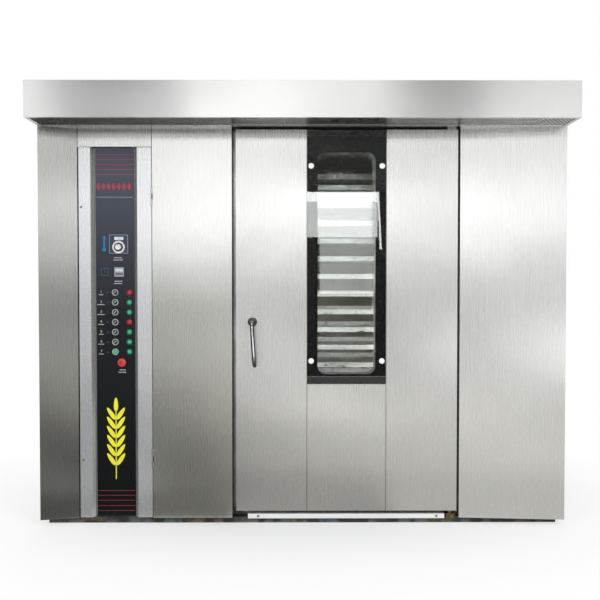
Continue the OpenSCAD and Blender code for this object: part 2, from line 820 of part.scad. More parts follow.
// Outline round both pulleys at radius offset e from their pitch radii; the straight runs lie a
// hair inside the arcs
module belt_outline(e) {
    circle(fan_pulley_r + e);
    translate([0, belt_run]) circle(motor_pulley_r + e);
    r1 = fan_pulley_r + e - 0.1;
    r2 = motor_pulley_r + e - 0.1;
    a = asin((r1 - r2) / belt_run);
    polygon([[r1 * cos(a), r1 * sin(a)], [r2 * cos(a), belt_run + r2 * sin(a)],
        [-r2 * cos(a), belt_run + r2 * sin(a)], [-r1 * cos(a), r1 * sin(a)]]);
}

module fan_belt() {
    belt_h = 5;
    color("black") translate([exchanger_cx, fan_y, pulley_z + (pulley_t - belt_h) / 2])
        linear_extrude(belt_h) difference() {
            belt_outline(3);
            belt_outline(4 - groove_d + seat_gap);
        }
}

// ---- Rack drive ------------------------------------------------------------------------

gearbox_h = 120;

module rack_gearmotor() {
    color("steelblue") translate([axis_x, axis_y, roof_z]) difference() {
        union() {
            block([-90, -90, 0], [90, 90, 12]);
            block([-70, -70, 12], [70, 80, gearbox_h]);
            translate([0, 0, gearbox_h]) cylinder(d = 90, h = 8);
            translate([0, 80, 76]) rotate([-90, 0, 0]) cylinder(d = 140, h = 14);
            translate([0, 94, 76]) rotate([-90, 0, 0]) cylinder(d = 104, h = 190);
            for (i = [0:15]) translate([0, 100, 76]) rotate([-90, i * 22.5, 0])
                translate([48, -1.5, 0]) cube([12, 3, 150]);
            translate([-35, 130, 115]) cube([70, 80, 42]);
        }
        translate([0, 0, -1]) cylinder(d = drive_d + 2 * fit_gap, h = gearbox_h + 20);
    }
}

hook_l = 150;
hook_wall = 8;
hook_play = 4;

module rack_hook() {
    half = hook_plate_w / 2 + hook_play;
    lip = 24;
    channel_h = hook_plate_t + 4;
    color("silver") {
        translate([axis_x, axis_y + hook_l / 2, hook_z]) rotate([90, 0, 0]) linear_extrude(hook_l)
            polygon([[-half - hook_wall, -10], [-half + lip, -10], [-half + lip, 0], [-half, 0],
                [-half, channel_h], [half, channel_h], [half, 0], [half - lip, 0],
                [half - lip, -10], [half + hook_wall, -10], [half + hook_wall, channel_h + 12],
                [-half - hook_wall, channel_h + 12]]);
        translate([axis_x, axis_y, hook_z + channel_h + 12])
            cylinder(d = drive_d, h = roof_z + gearbox_h - hook_z - channel_h - 20);
    }
}

// ---- Tray rack -------------------------------------------------------------------------

module rack_sides() {
    post_dy = rack_half_y - rack_tube;
    color("silver") translate([axis_x, axis_y, 0]) for (s = [0, 1]) mirror([s, 0, 0]) {
        for (y = [-rack_half_y, post_dy])
            block([post_x, y, rack_z0], [rack_half_x, y + rack_tube, rack_z1]);
        for (l = [0:levels - 1])
            translate([0, rack_half_y, level_z0 + l * level_pitch]) rotate([90, 0, 0])
                linear_extrude(2 * rack_half_y)
                    polygon([[runner_x - runner_w, -runner_t], [post_x, -runner_t], [post_x, 22],
                        [runner_x, 22], [runner_x, 0], [runner_x - runner_w, 0]]);
        // rear stop of the trays
        block([post_x - 40, tray_d / 2 + 2, rack_z0 + rack_tube],
            [post_x, tray_d / 2 + 5, rack_z1 - rack_tube]);
    }
}

// Welded grid of tubes between the rack's sides
module rack_grid(z) {
    bars = 5;
    step = (2 * rack_half_y - rack_tube) / (bars - 1);
    for (i = [0:bars - 1])
        block([-post_x, -rack_half_y + i * step, z],
            [post_x, -rack_half_y + i * step + rack_tube, z + rack_tube]);
    for (x = [-post_x, post_x - rack_tube])
        block([x, -rack_half_y, z], [x + rack_tube, rack_half_y, z + rack_tube]);
}

module rack_top() {
    neck = hook_plate_w / 2 - 40;
    color("silver") translate([axis_x, axis_y, 0]) {
        rack_grid(rack_z1 - rack_tube);
        block([-neck, -90, rack_z1], [neck, 90, hook_z]);
        block([-hook_plate_w / 2, -90, hook_z], [hook_plate_w / 2, 90, hook_z + hook_plate_t]);
    }
}

// Castor plate with its bore, centred on the castor's axis
module castor_plate(bore) {
    translate([0, 0, rack_z0 - castor_plate_t]) difference() {
        translate([-50, -45, 0]) cube([100, 90, castor_plate_t]);
        if (bore > 0) translate([0, 0, -1]) cylinder(d = bore, h = castor_plate_t + 2);
    }
}

// Two fork legs and the axle, the wheel at distance trail behind the axis
module fork_legs(trail, top) {
    leg_t = 4;
    inner = wheel_w / 2 + 2;
    for (s = [-1, 1]) translate([s * (inner + leg_t / 2) - leg_t / 2, 0, 0])
        rotate([90, 0, 90]) linear_extrude(leg_t)
            polygon([[-26, top], [26, top], [trail + 14, wheel_z - 12], [trail - 14, wheel_z - 12]]);
    translate([-inner - leg_t - 3, trail, wheel_z]) rotate([0, 90, 0])
        cylinder(d = axle_d, h = 2 * (inner + leg_t + 3));
}

module rack_base() {
    color("silver") translate([axis_x, axis_y, 0]) {
        rack_grid(rack_z0);
        for (sx = [-1, 1]) {
            translate([sx * castor_x, -castor_y, 0]) castor_plate(king_d + 2 * fit_gap);
            translate([sx * castor_x, castor_y, 0]) {
                castor_plate(0);
                fork_legs(0, rack_z0 - castor_plate_t);
            }
        }
    }
}

module castor_fork(sx) {
    head_z = rack_z0 - castor_plate_t - seat_gap - castor_head_t;
    color("gray") translate([axis_x + sx * castor_x, axis_y - castor_y, 0]) {
        translate([0, 0, head_z]) cylinder(d = 64, h = castor_head_t);
        translate([0, 0, head_z]) cylinder(d = king_d, h = castor_head_t + seat_gap + castor_plate_t);
        fork_legs(castor_trail, head_z);
    }
}

module castor_wheel(sx, y) {
    color("saddlebrown") translate([axis_x + sx * castor_x - wheel_w / 2, axis_y + y, wheel_z])
        rotate([0, 90, 0]) rotate_extrude()
            polygon([[axle_d / 2 + fit_gap, 0], [16, 0], [16, 5], [wheel_d / 2 - 14, 5],
                [wheel_d / 2 - 14, 2], [wheel_d / 2 - 3, 2], [wheel_d / 2, 5],
                [wheel_d / 2, wheel_w - 5], [wheel_d / 2 - 3, wheel_w - 2],
                [wheel_d / 2 - 14, wheel_w - 2], [wheel_d / 2 - 14, wheel_w - 5],
                [16, wheel_w - 5], [16, wheel_w], [axle_d / 2 + fit_gap, wheel_w]]);
}

module tray() {
    difference() {
        linear_extrude(tray_h) rounded_rect(tray_w, tray_d, tray_r);
        translate([0, 0, tray_t]) linear_extrude(tray_h)
            rounded_rect(tray_w - 2 * tray_t, tray_d - 2 * tray_t, tray_r - tray_t);
    }
}

module trays() {
    color("darkgray") for (l = [0:levels - 1])
        translate([axis_x, axis_y, level_z0 + l * level_pitch]) tray();
}

// ---- Baking door -----------------------------------------------------------------------

module door_sill() {
    color("lightgray") translate([opening_x0 + 7, 0, 0]) rotate([90, 0, 90])
        linear_extrude(pivot_x - 29 - opening_x0 - 7)
            polygon([[front_y + 8, base_h - 6], [base_y0, base_h - 6], [base_y0, base_h],
                [base_y0 + base_w - 2, base_h], [base_y0 + base_w - 2, floor_z - 8],
                [front_y + 8, floor_z - 8]]);
}

// Bottom and top hinge brackets with their pins, and the keeper of the latch
module door_hardware() {
    bracket_w = 44;
    color("goldenrod") {
        translate([pivot_x - bracket_w / 2, 0, 0]) rotate([90, 0, 90]) linear_extrude(bracket_w)
            polygon([[front_y + 2, base_h - 6], [base_y0, base_h - 6], [base_y0, base_h],
                [base_y0 + base_w - 2, base_h], [base_y0 + base_w - 2, floor_z - 5],
                [front_y + 2, floor_z - 5]]);
        translate([pivot_x, pivot_y, floor_z - 5]) {
            cylinder(d = hinge_pin_d, h = door_floor_gap + 5 + hinge_pin_l);
            cylinder(d = hinge_pin_d + 14, h = door_floor_gap + 5 - seat_gap);
        }
    }
    color("gray") {
        block([pivot_x - bracket_w / 2, front_y + 4, door_z1 + 2],
            [pivot_x + bracket_w / 2, post_y + post_w, hood_z]);
        translate([pivot_x, pivot_y, door_z1 - hinge_pin_l])
            cylinder(d = hinge_pin_d, h = hinge_pin_l + 2);
        block([opening_x0 - 46, lining_y, handle_z - 45], [opening_x0, lining_y + keeper_t, handle_z + 45]);
    }
}

module door_left_section() {
    color("silver") difference() {
        folded_panel(door_x0, front_y, door_back_y, seam_x0 - seam / 2, front_y, core_y, door_z0, door_z1);
        facing_disc(handle_x, core_y, front_y - 1, handle_z, spindle_d + 2);
    }
}

module door_centre_panel() {
    color("silver")
        folded_panel(seam_x0 + seam / 2, front_y, core_y, seam_x1 - seam / 2, front_y, core_y, door_z0, low_z1);
}

module door_right_section() {
    color("silver")
        folded_panel(seam_x1 + seam / 2, front_y, core_y, door_x1, front_y, door_back_y, door_z0, door_z1);
}

// Plate outline of the window, cut with grow more on every side
module window_hole(depth, grow) {
    translate([window_cx, 0, window_z0 + window_h / 2]) rotate([90, 0, 0])
        linear_extrude(depth, center = true)
            rounded_rect(window_w + 2 * grow, window_h + 2 * grow, window_r);
}

module door_lining() {
    rebate = inner_glass_t + 1;
    color("lightsteelblue") difference() {
        block([door_x0 + sheet, core_y, door_z0], [door_x1 - sheet, door_back_y, door_z1]);
        translate([0, (core_y + door_back_y) / 2, 0]) window_hole(door_t, 0);
        translate([0, door_back_y, 0]) window_hole(2 * rebate, 20);
        translate([handle_x, core_y - 1, handle_z]) rotate([-90, 0, 0])
            cylinder(d = spindle_d + 2, h = door_t);
        for (z = [door_z0 - 1, door_z1 - hinge_pin_l - 1])
            translate([pivot_x, pivot_y, z])
                cylinder(d = hinge_pin_d + 2 * fit_gap, h = hinge_pin_l + 2);
    }
}

module button_holes(y, h) {
    for (s = [-1, 1], z = button_z)
        translate([window_cx + s * button_dx, y, z]) rotate([-90, 0, 0])
            cylinder(d = button_shank + 2, h = h);
}

module window_glass() {
    y0 = front_y + skin_d - 3 - glass_t - 1;
    color("lightcyan", 0.4) {
        difference() {
            block([seam_x0 + 1, y0, low_z1 + 1], [seam_x1 - 1, y0 + glass_t, door_z1 - 1]);
            button_holes(y0 - 1, glass_t + 2);
        }
        translate([0, door_back_y - 1 - inner_glass_t / 2, 0])
            window_hole(inner_glass_t, 19);
    }
}

module window_mask() {
    color("black") difference() {
        block([seam_x0 + 1, core_y - 3, low_z1 + 1], [seam_x1 - 1, core_y, door_z1 - 1]);
        translate([0, core_y, 0]) window_hole(20, 0);
        button_holes(core_y - 4, 5);
    }
}

// Rosette of the handle and the four button screws of the glass
module door_fittings() {
    color("silver") {
        difference() {
            facing_disc(handle_x, front_y, front_y - rosette_t, handle_z, rosette_d);
            facing_disc(handle_x, front_y + 1, front_y - rosette_t - 1, handle_z,
                spindle_d + 2 * fit_gap);
        }
        for (s = [-1, 1], z = button_z) {
            facing_disc(window_cx + s * button_dx, core_y, front_y, z, button_shank);
            facing_disc(window_cx + s * button_dx, front_y + 2, front_y - 4, z, button_d);
        }
    }
}

module door_gasket() {
    inset = 8;
    x0 = door_x0 + inset;
    x1 = door_x1 - inset;
    y0 = door_back_y;
    y1 = door_back_y + gasket_t;
    z1 = door_z1 - inset;
    color("black") {
        block([x0, y0, door_z0 + 4], [x0 + gasket_w, y1, z1]);
        block([x1 - 28 - gasket_w, y0, door_z0 + 4], [x1 - 28, y1, z1]);
        block([x0 + gasket_w + slab_gap, y0, z1 - gasket_w],
            [x1 - 28 - gasket_w - slab_gap, y1, z1]);
        // wiper along the floor
        block([opening_x0 + 2, y0, floor_z + 0.5], [opening_x1 - 2, y0 + 4, door_z0 + gasket_w]);
    }
}

// ---- Handle ----------------------------------------------------------------------------

// Bend of the rod round the origin, from the front face upwards by an angle
module rod_bend(r, angle) {
    rotate([90, 0, -90]) rotate_extrude(angle = angle) translate([r, 0]) circle(d = handle_rod);
}

module handle_lever() {
    straight_y = front_y - handle_reach;
    color("silver") {
        translate([handle_x, cam_y + cam_t, handle_z]) rotate([90, 0, 0])
            cylinder(d = spindle_d, h = cam_y + cam_t - front_y + rosette_t + 2);
        translate([handle_x, 0, handle_z]) rotate([0, -handle_lean, 0]) {
            translate([0, front_y - rosette_t - 1, 0]) rotate([90, 0, 0])
                cylinder(d = handle_rod, h = handle_reach - rosette_t - 1 - handle_bend);
            translate([0, straight_y + handle_bend, -handle_bend]) rod_bend(handle_bend, 90);
            translate([0, straight_y, -handle_bend - handle_drop])
                cylinder(d = handle_rod, h = handle_drop);
            // the free end curls back towards the door
            translate([0, straight_y + curl_bend, -handle_bend - handle_drop])
                mirror([0, 0, 1]) rod_bend(curl_bend, curl_angle);
        }
    }
}

module latch_cam() {
    color("gray") translate([handle_x, cam_y + cam_t, handle_z]) rotate([90, 0, 0])
        difference() {
            union() {
                cylinder(d = cam_w, h = cam_t);
                translate([-cam_w / 2, 0, 0]) cube([cam_w, cam_l - cam_w / 2, cam_t]);
                translate([0, cam_l - cam_w / 2, 0]) cylinder(d = cam_w, h = cam_t);
            }
            translate([0, 0, -1]) cylinder(d = spindle_d + 2 * fit_gap, h = cam_t + 2);
        }
}

// ---- Control door ----------------------------------------------------------------------

// Half of a barrel hinge: a knuckle on the control door's axis and a leaf that runs to x
module hinge_leaf(x, z, l) {
    translate([control_px, control_py, z]) cylinder(d = knuckle_d, h = l);
    block([min(x, control_px), front_y - leaf_t, z], [max(x, control_px), front_y, z + l]);
}

module control_door_pan() {
    x0 = control_x0 + seam / 2;
    x1 = mid_x0 - seam / 2;
    back = front_y + fold;
    yr = front_y + recess;
    a = x0 + strip_left;
    b = x1 - strip_right;
    color("silver") {
        translate([0, 0, control_z0]) linear_extrude(control_z1 - control_z0)
            polygon([[x0, front_y], [a, front_y], [a + recess_slope, yr], [b - recess_slope, yr],
                [b, front_y], [x1, front_y], [x1, back], [x1 - sheet, back],
                [x1 - sheet, front_y + sheet], [b + sheet / 2, front_y + sheet],
                [b + sheet / 2 - recess_slope, yr + sheet], [a - sheet / 2 + recess_slope, yr + sheet],
                [a - sheet / 2, front_y + sheet], [x0 + sheet, front_y + sheet], [x0 + sheet, back],
                [x0, back]]);
        for (z = knuckle_z)
            hinge_leaf(x1 - 14, z + knuckle_end + seat_gap, knuckle_l - 2 * knuckle_end - 2 * seat_gap);
    }
}

module control_fascia() {
    color("black")
        block([fascia_x0 + 0.5, fascia_y, control_z0 + 1], [fascia_x1 - 0.5, fascia_y + fascia_t, control_z1 - 1]);
}

function row_z(i) = row_top_z - i * row_pitch;

module square_bezel(x, z, size, t) {
    block([x - size / 2, fascia_y - t, z - size / 2], [x + size / 2, fascia_y, z + size / 2]);
}

module instruments() {
    color("darkslategray") {
        square_bezel(controller_x, controller_z, controller_size, bezel_t);
        square_bezel(timer_x, timer_z, timer_size, bezel_t);
    }
    color("silver") for (i = [0:row_count - 1]) difference() {
        facing_disc(selector_x, fascia_y, fascia_y - ring_t, row_z(i), ring_d);
        facing_disc(selector_x, fascia_y + 1, fascia_y - ring_t - 1, row_z(i), knob_d + 1);
    }
    color("gold") difference() {
        facing_disc(stop_x, fascia_y, fascia_y - 10, stop_z, stop_d - 8);
        facing_disc(stop_x, fascia_y + 1, fascia_y - 11, stop_z, stop_stem_d + 0.6);
    }
}

stop_stem_d = 16;

module pilot_lamps() {
    lamp_colors = ["red", "green", "green", "red", "green", "green", "green"];
    for (i = [0:row_count - 1]) color(lamp_colors[i]) {
        facing_disc(lamp_x, fascia_y, fascia_y - 4, row_z(i), ring_d);
        translate([lamp_x, fascia_y - 4, row_z(i)]) rotate([90, 0, 0])
            rotate_extrude() polygon([[0, 0], [knob_d / 2, 0], [knob_d / 2, 6], [knob_d / 2 - 4, 10], [0, 10]]);
    }
}

module selector(i) {
    y = fascia_y - seat_gap;
    color("black") {
        facing_disc(selector_x, y, y - 12, row_z(i), knob_d);
        translate([selector_x, y - 12, row_z(i)]) rotate([0, 45, 0])
            translate([-3.5, -7, -knob_d / 2 + 0.5]) cube([7, 8, knob_d - 1]);
    }
}

module start_button() {
    y = fascia_y - start_travel - 0.5;
    color("limegreen") facing_disc(selector_x, y, y - 8, row_z(row_count - 1), knob_d);
}

module estop_button() {
    y = fascia_y - stop_travel - 1;
    color("red") {
        facing_disc(stop_x, y, y - 12, stop_z, stop_stem_d);
        translate([stop_x, y - 10, stop_z]) rotate([90, 0, 0]) rotate_extrude()
            polygon([[0, 0], [stop_d / 2, 0], [stop_d / 2, 6], [stop_d / 2 - 4, 10],
                [stop_d / 2 - 10, 12], [0, 13]]);
    }
}

module temperature_dial() {
    y = fascia_y - bezel_t - seat_gap;
    color("whitesmoke") {
        facing_disc(controller_x, y, y - 4, controller_z - 15, 44);
        facing_disc(controller_x, y - 4, y - 18, controller_z - 15, 26);
    }
}

frame_members();
chamber_floor();
chamber_lining();
duct_plates();
door_surround();
insulation_slabs();
casing_panels();
roof_panel();
front_corner_panel();
front_mid_panel();
front_right_panel();
control_header();
hood_shell();
hood_grille();
electrical_plate();
heat_exchanger();
burner();
steam_generator();
fan_motor();
fan_belt();
rack_gearmotor();
flue_pipe();
door_sill();
door_hardware();
door_left_section();
door_centre_panel();
door_right_section();
door_lining();
window_glass();
window_mask();
door_fittings();
door_gasket();
handle_lever();
latch_cam();
rack_hook();
rack_sides();
rack_top();
rack_base();
trays();
castor_fork(-1);  // castor_fork_1
castor_fork(1);  // castor_fork_2
castor_wheel(-1, castor_trail - castor_y);  // castor_wheel_1
castor_wheel(1, castor_trail - castor_y);  // castor_wheel_2
castor_wheel(-1, castor_y);  // castor_wheel_3
castor_wheel(1, castor_y);  // castor_wheel_4
fan_rotor();
motor_pulley();
control_door_pan();
control_fascia();
instruments();
pilot_lamps();
selector(0);  // selector_1
selector(1);  // selector_2
selector(2);  // selector_3
selector(3);  // selector_4
selector(4);  // selector_5
selector(5);  // selector_6
start_button();
estop_button();
temperature_dial();
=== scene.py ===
# Rotating rack oven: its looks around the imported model. Metres, X right, Y back, Z up.
import math
import bmesh
import bpy
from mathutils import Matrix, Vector


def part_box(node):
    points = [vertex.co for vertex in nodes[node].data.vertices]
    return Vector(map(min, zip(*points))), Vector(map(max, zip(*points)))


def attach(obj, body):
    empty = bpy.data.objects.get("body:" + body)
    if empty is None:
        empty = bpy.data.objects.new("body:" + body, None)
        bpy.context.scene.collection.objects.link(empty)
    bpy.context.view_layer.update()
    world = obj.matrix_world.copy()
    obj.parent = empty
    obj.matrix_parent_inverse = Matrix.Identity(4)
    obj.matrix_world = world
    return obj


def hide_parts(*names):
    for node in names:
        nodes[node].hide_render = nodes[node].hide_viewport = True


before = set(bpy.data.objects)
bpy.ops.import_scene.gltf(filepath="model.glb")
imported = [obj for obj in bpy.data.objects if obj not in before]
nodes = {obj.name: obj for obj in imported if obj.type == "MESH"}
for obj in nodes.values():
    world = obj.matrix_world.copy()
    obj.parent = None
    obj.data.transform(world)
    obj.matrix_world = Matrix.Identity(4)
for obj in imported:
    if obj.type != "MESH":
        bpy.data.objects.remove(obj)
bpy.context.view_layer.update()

MM = 0.001

# ---- Camera ----------------------------------------------------------------------------
# The photograph was taken from eye height, 4 m in front of the oven and almost square to it,
# with the lens tipped a degree and a half downwards.
lens = bpy.data.cameras.new("front_view")
lens.sensor_width = 36.0
lens.lens = 47.8
camera = bpy.data.objects.new("front_view", lens)
camera.location = (-0.0317, -4.5959, 1.2224)
camera.rotation_euler = (math.radians(90 - 1.456), 0, math.radians(-0.265))
bpy.context.scene.collection.objects.link(camera)
bpy.context.scene.camera = camera
bpy.context.scene.view_settings.view_transform = "Standard"


# ---- Studio ----------------------------------------------------------------------------
# A white sweep with soft lamps. Dark and bright boards stand outside the picture, because
# bare steel has no look of its own: it shows what stands in front of it.
def linear(code):
    """'#rrggbb' in sRGB to a linear colour with alpha 1."""
    parts = [int(code[i:i + 2], 16) / 255 for i in (1, 3, 5)]
    return [c / 12.92 if c <= 0.04045 else ((c + 0.055) / 1.055) ** 2.4 for c in parts] + [1.0]


def add(tree, kind, inputs=(), **settings):
    """A node with its settings. Inputs are pairs: a socket, and a value, hex code or output."""
    node = tree.nodes.new(kind)
    for key, value in settings.items():
        setattr(node, key, value)
    for key, value in inputs:
        if isinstance(value, bpy.types.NodeSocket):
            tree.links.new(value, node.inputs[key])
        else:
            node.inputs[key].default_value = linear(value) if isinstance(value, str) else value
    return node


def seen_straight(tree):
    """1 for the rays of the camera, of mirrors and of glass, and 0 for the rest."""
    rays = add(tree, "ShaderNodeLightPath")
    seen = add(tree, "ShaderNodeMath", [(0, rays.outputs["Is Camera Ray"]),
                                        (1, rays.outputs["Is Glossy Ray"])], operation="MAXIMUM")
    return add(tree, "ShaderNodeMath", [(0, seen.outputs[0]),
                                        (1, rays.outputs["Is Transmission Ray"])],
               operation="MAXIMUM").outputs[0]


world = bpy.data.worlds.new("studio")
bpy.context.scene.world = world
world.use_nodes = True
sky = world.node_tree
sky.nodes.clear()
ambient = add(sky, "ShaderNodeBackground", [("Color", "#f4f6fa"), ("Strength", 0.55)])
white = add(sky, "ShaderNodeBackground", [("Color", "#ffffff"), ("Strength", 1.0)])
both = add(sky, "ShaderNodeMixShader", [(0, seen_straight(sky)), (1, ambient.outputs[0]),
                                        (2, white.outputs[0])])
add(sky, "ShaderNodeOutputWorld", [("Surface", both.outputs[0])])


def board(name, corners, material):
    """Flat quad of the studio, which isn't part of the oven."""
    mesh = bpy.data.meshes.new(name)
    mesh.from_pydata(corners, [], [(0, 1, 2, 3)])
    mesh.materials.append(material)
    obj = bpy.data.objects.new(name, mesh)
    bpy.context.scene.collection.objects.link(obj)
    return obj


# The floor keeps the oven's shadow close by and fades to plain white further out
paper = bpy.data.materials.new("white_paper")
paper.use_nodes = True
tree = paper.node_tree
tree.nodes.clear()
where = add(tree, "ShaderNodeTexCoord")
near = add(tree, "ShaderNodeMapping", [("Vector", where.outputs["Object"]),
                                       ("Scale", (0.33, 0.42, 1.0))])
fade = add(tree, "ShaderNodeTexGradient", [("Vector", near.outputs[0])],
           gradient_type="QUADRATIC_SPHERE")
matt = add(tree, "ShaderNodeBsdfDiffuse", [("Color", "#f2f2f2")])
glow = add(tree, "ShaderNodeEmission", [("Color", "#ffffff"), ("Strength", 1.0)])
share = add(tree, "ShaderNodeMapRange", [("Value", fade.outputs["Fac"]), ("From Max", 0.5),
                                         ("To Min", 1.0), ("To Max", 0.4)])
part = add(tree, "ShaderNodeMath", [(0, share.outputs[0]), (1, seen_straight(tree))],
           operation="MULTIPLY")
both = add(tree, "ShaderNodeMixShader", [(0, part.outputs[0]), (1, matt.outputs[0]),
                                         (2, glow.outputs[0])])
add(tree, "ShaderNodeOutputMaterial", [("Surface", both.outputs[0])])
paper.cycles.emission_sampling = "NONE"
FLOOR = 30.0
board("floor", [(-FLOOR, -FLOOR, -0.001), (FLOOR, -FLOOR, -0.001), (FLOOR, FLOOR, -0.001),
                (-FLOOR, FLOOR, -0.001)], paper)


def reflector(name, strength, corners, tint="#ffffff"):
    """Board that only mirrors and glass see."""
    card = bpy.data.materials.new(name)
    card.use_nodes = True
    card.node_tree.nodes.clear()
    light = add(card.node_tree, "ShaderNodeEmission",
                [("Color", tint), ("Strength", strength)])
    add(card.node_tree, "ShaderNodeOutputMaterial", [("Surface", light.outputs[0])])
    card.cycles.emission_sampling = "NONE"
    obj = board(name, corners, card)
    obj.visible_camera = obj.visible_diffuse = obj.visible_shadow = False


# What the front mirrors, row by row from the ground up: bright counters, a dimmer wall, a band
# like a row of windows, and a dark roof. Each row is (z0, z1, x of its two edges, left to right
# strengths), and its outer boards reach SIDE metres out.
WALL_Y, SIDE = -6.6, 9.0
GROUND, LAMPS_LOW, LAMPS_HIGH = 0.02, 3.15, 3.75
WALL_ROWS = [(GROUND, 0.70, (-0.84, 1.1), (0.20, 2.40, 2.70)),
             (0.70, 1.30, (-0.84, 1.1), (0.32, 1.33, 0.8)),
             (1.30, 1.85, (-1.95, 1.1), (0.95, 1.62, 1.2)),
             (1.85, 2.45, (-1.95, 1.1), (1.18, 1.97, 1.65)),
             (2.45, 2.90, (-1.95, 1.1), (0.90, 1.90, 1.55)),
             (2.90, LAMPS_LOW, (-1.84, 1.1), (0.3, 0.3, 0.3)),
             (LAMPS_HIGH, 9.00, (-1.84, 1.1), (0.3, 0.3, 0.3))]


def wall_board(name, strength, x0, x1, z0, z1, y=WALL_Y):
    reflector(name, strength, [(x0, y, z0), (x1, y, z0), (x1, y, z1), (x0, y, z1)])


def in_a_row(edges, strengths):
    """Numbers the boards of a row, with the left x, right x and strength of each."""
    return enumerate(zip((-SIDE,) + edges, edges + (SIDE,), strengths), 1)


for row, (z0, z1, edges, strengths) in enumerate(WALL_ROWS, 1):
    for column, (x0, x1, strength) in in_a_row(edges, strengths):
        wall_board("wall_board_%d_%d" % (row, column), strength, x0, x1, z0, z1)
# The hood mirrors the lamps that hang between the dark parts of the roof
for column, (x0, x1, strength) in in_a_row((-2.9, -1.35, 1.15, 1.35, 2.2),
                                           (4.2, 0.7, 3.9, 0.9, 0.12, 2.6)):
    wall_board("hood_board_%d" % column, strength, x0, x1, LAMPS_LOW, LAMPS_HIGH)
# The window mirrors a dark wall with one bright opening in it
NEAR_Y = -6.55
DARK_LEFT, OPENING_RIGHT, DARK_RIGHT = 0.08, 0.975, 1.10
OPENING_LOW, SKY_LOW, OPENING_TOP = 1.75, 2.19, 2.31
wall_board("window_wall_low", 0.03, DARK_LEFT, DARK_RIGHT, GROUND, OPENING_LOW, NEAR_Y)
wall_board("window_shelves", 1.0, 0.26, 0.95, 1.05, OPENING_LOW, NEAR_Y + 0.01)
wall_board("window_opening", 3.15, DARK_LEFT, OPENING_RIGHT, OPENING_LOW, SKY_LOW, NEAR_Y)
wall_board("window_opening_sky", 5.8, DARK_LEFT, OPENING_RIGHT, SKY_LOW, OPENING_TOP, NEAR_Y)
wall_board("window_wall_right", 0.03, OPENING_RIGHT, DARK_RIGHT, OPENING_LOW, OPENING_TOP, NEAR_Y)
wall_board("window_wall_top", 0.08, DARK_LEFT, DARK_RIGHT, OPENING_TOP, LAMPS_LOW, NEAR_Y)
reflector("window_opening_edge", 4.5, [(0.970, -6.54, OPENING_TOP), (0.990, -6.54, OPENING_TOP),
                                       (1.028, -6.54, 1.60), (1.002, -6.54, 1.60)])
# Cards over the paper, so that the lower half of the front isn't flooded from below
FLOOR_ROWS = [(-6.6, -5.4, (-0.80, 1.10), (0.15, 1.17, 0.89)),
              (-5.4, -3.3, (-0.66, 0.87), (0.12, 1.14, 0.84)),
              (-3.3, -1.7, (-0.48, 0.61), (0.10, 0.70, 0.86)),
              (-1.7, -0.72, (-0.38, 0.47), (0.24, 0.46, 0.68))]
FLOOR_TINT = "#fbfaf4"


def floor_card(name, strength, y0, y1, far_x, near_x, z=0.006, tint="#ffffff"):
    """Card on the paper, from its far edge at y0 to its near edge at y1."""
    reflector(name, strength, [(far_x[0], y0, z), (far_x[1], y0, z), (near_x[1], y1, z),
                               (near_x[0], y1, z)], tint)


for row, (y0, y1, edges, strengths) in enumerate(FLOOR_ROWS, 1):
    for column, (x0, x1, strength) in in_a_row(edges, strengths):
        floor_card("floor_card_%d_%d" % (row, column), strength, y0, y1, (x0, x1), (x0, x1), 0.004,
                   FLOOR_TINT)
dark_x = (DARK_LEFT, DARK_RIGHT)
floor_card("window_floor_card", 0.25, WALL_Y, -5.3, dark_x, dark_x)
floor_card("middle_floor_card", 2.20, -5.2, -3.9, (0.13, 0.84), (0.11, 0.74), tint=FLOOR_TINT)
# The pale strips of the control door mirror a lighter lane than the panels beside them
floor_card("lane_floor_card", 0.50, -5.4, -1.20, (-2.39, -1.62), (-1.20, -0.85))
wall_board("lane_wall_low", 1.05, -2.90, -1.84, GROUND, 1.30, NEAR_Y)
wall_board("bench_right", 0.55, 1.12, 2.10, GROUND, 0.90, NEAR_Y)
# Dark flags at both sides draw the black edges of the chromed parts, and dimmer boards beside
# and behind the oven give its other sides something to mirror
for side, name in ((-1, "left"), (1, "right")):
    for i, (x, y0, y1, strength) in enumerate([(2.7, -3.4, -0.8, 0.02), (6.5, 0.2, 1.6, 0.5),
                                               (6.5, 2.6, 5.0, 0.3)], 1):
        reflector("side_board_%d_%s" % (i, name), strength,
                  [(side * x, y0, GROUND), (side * x, y1, GROUND), (side * x, y1, 4.0),
                   (side * x, y0, 4.0)])
for i, (x0, x1, strength) in enumerate([(-4.5, -2.2, 0.35), (-0.6, 0.5, 0.5), (2.0, 4.0, 0.3)], 1):
    wall_board("rear_board_%d" % i, strength, x0, x1, GROUND, 5.0, 6.5)


def softbox(name, place, target, size, watts):
    lamp = bpy.data.lights.new(name, "AREA")
    lamp.shape = "RECTANGLE"
    lamp.size, lamp.size_y = size
    lamp.energy = watts
    obj = bpy.data.objects.new(name, lamp)
    obj.location = place
    obj.rotation_euler = (Vector(target) - Vector(place)).to_track_quat("-Z", "Y").to_euler()
    bpy.context.scene.collection.objects.link(obj)
    return obj


key = softbox("key_softbox", (2.6, -4.4, 3.9), (0.2, -0.6, 1.1), (2.4, 1.6), 150)
fill = softbox("fill_softbox", (-3.6, -4.2, 2.2), (-0.4, -0.6, 1.0), (1.8, 2.4), 70)
key.visible_glossy = fill.visible_glossy = False
softbox("roof_softbox", (0.0, 0.4, 5.2), (0, 0.2, 2.0), (3.5, 2.5), 110)
softbox("rear_softbox", (-1.5, 4.8, 3.0), (0, 0.8, 1.1), (2.6, 2.0), 110)


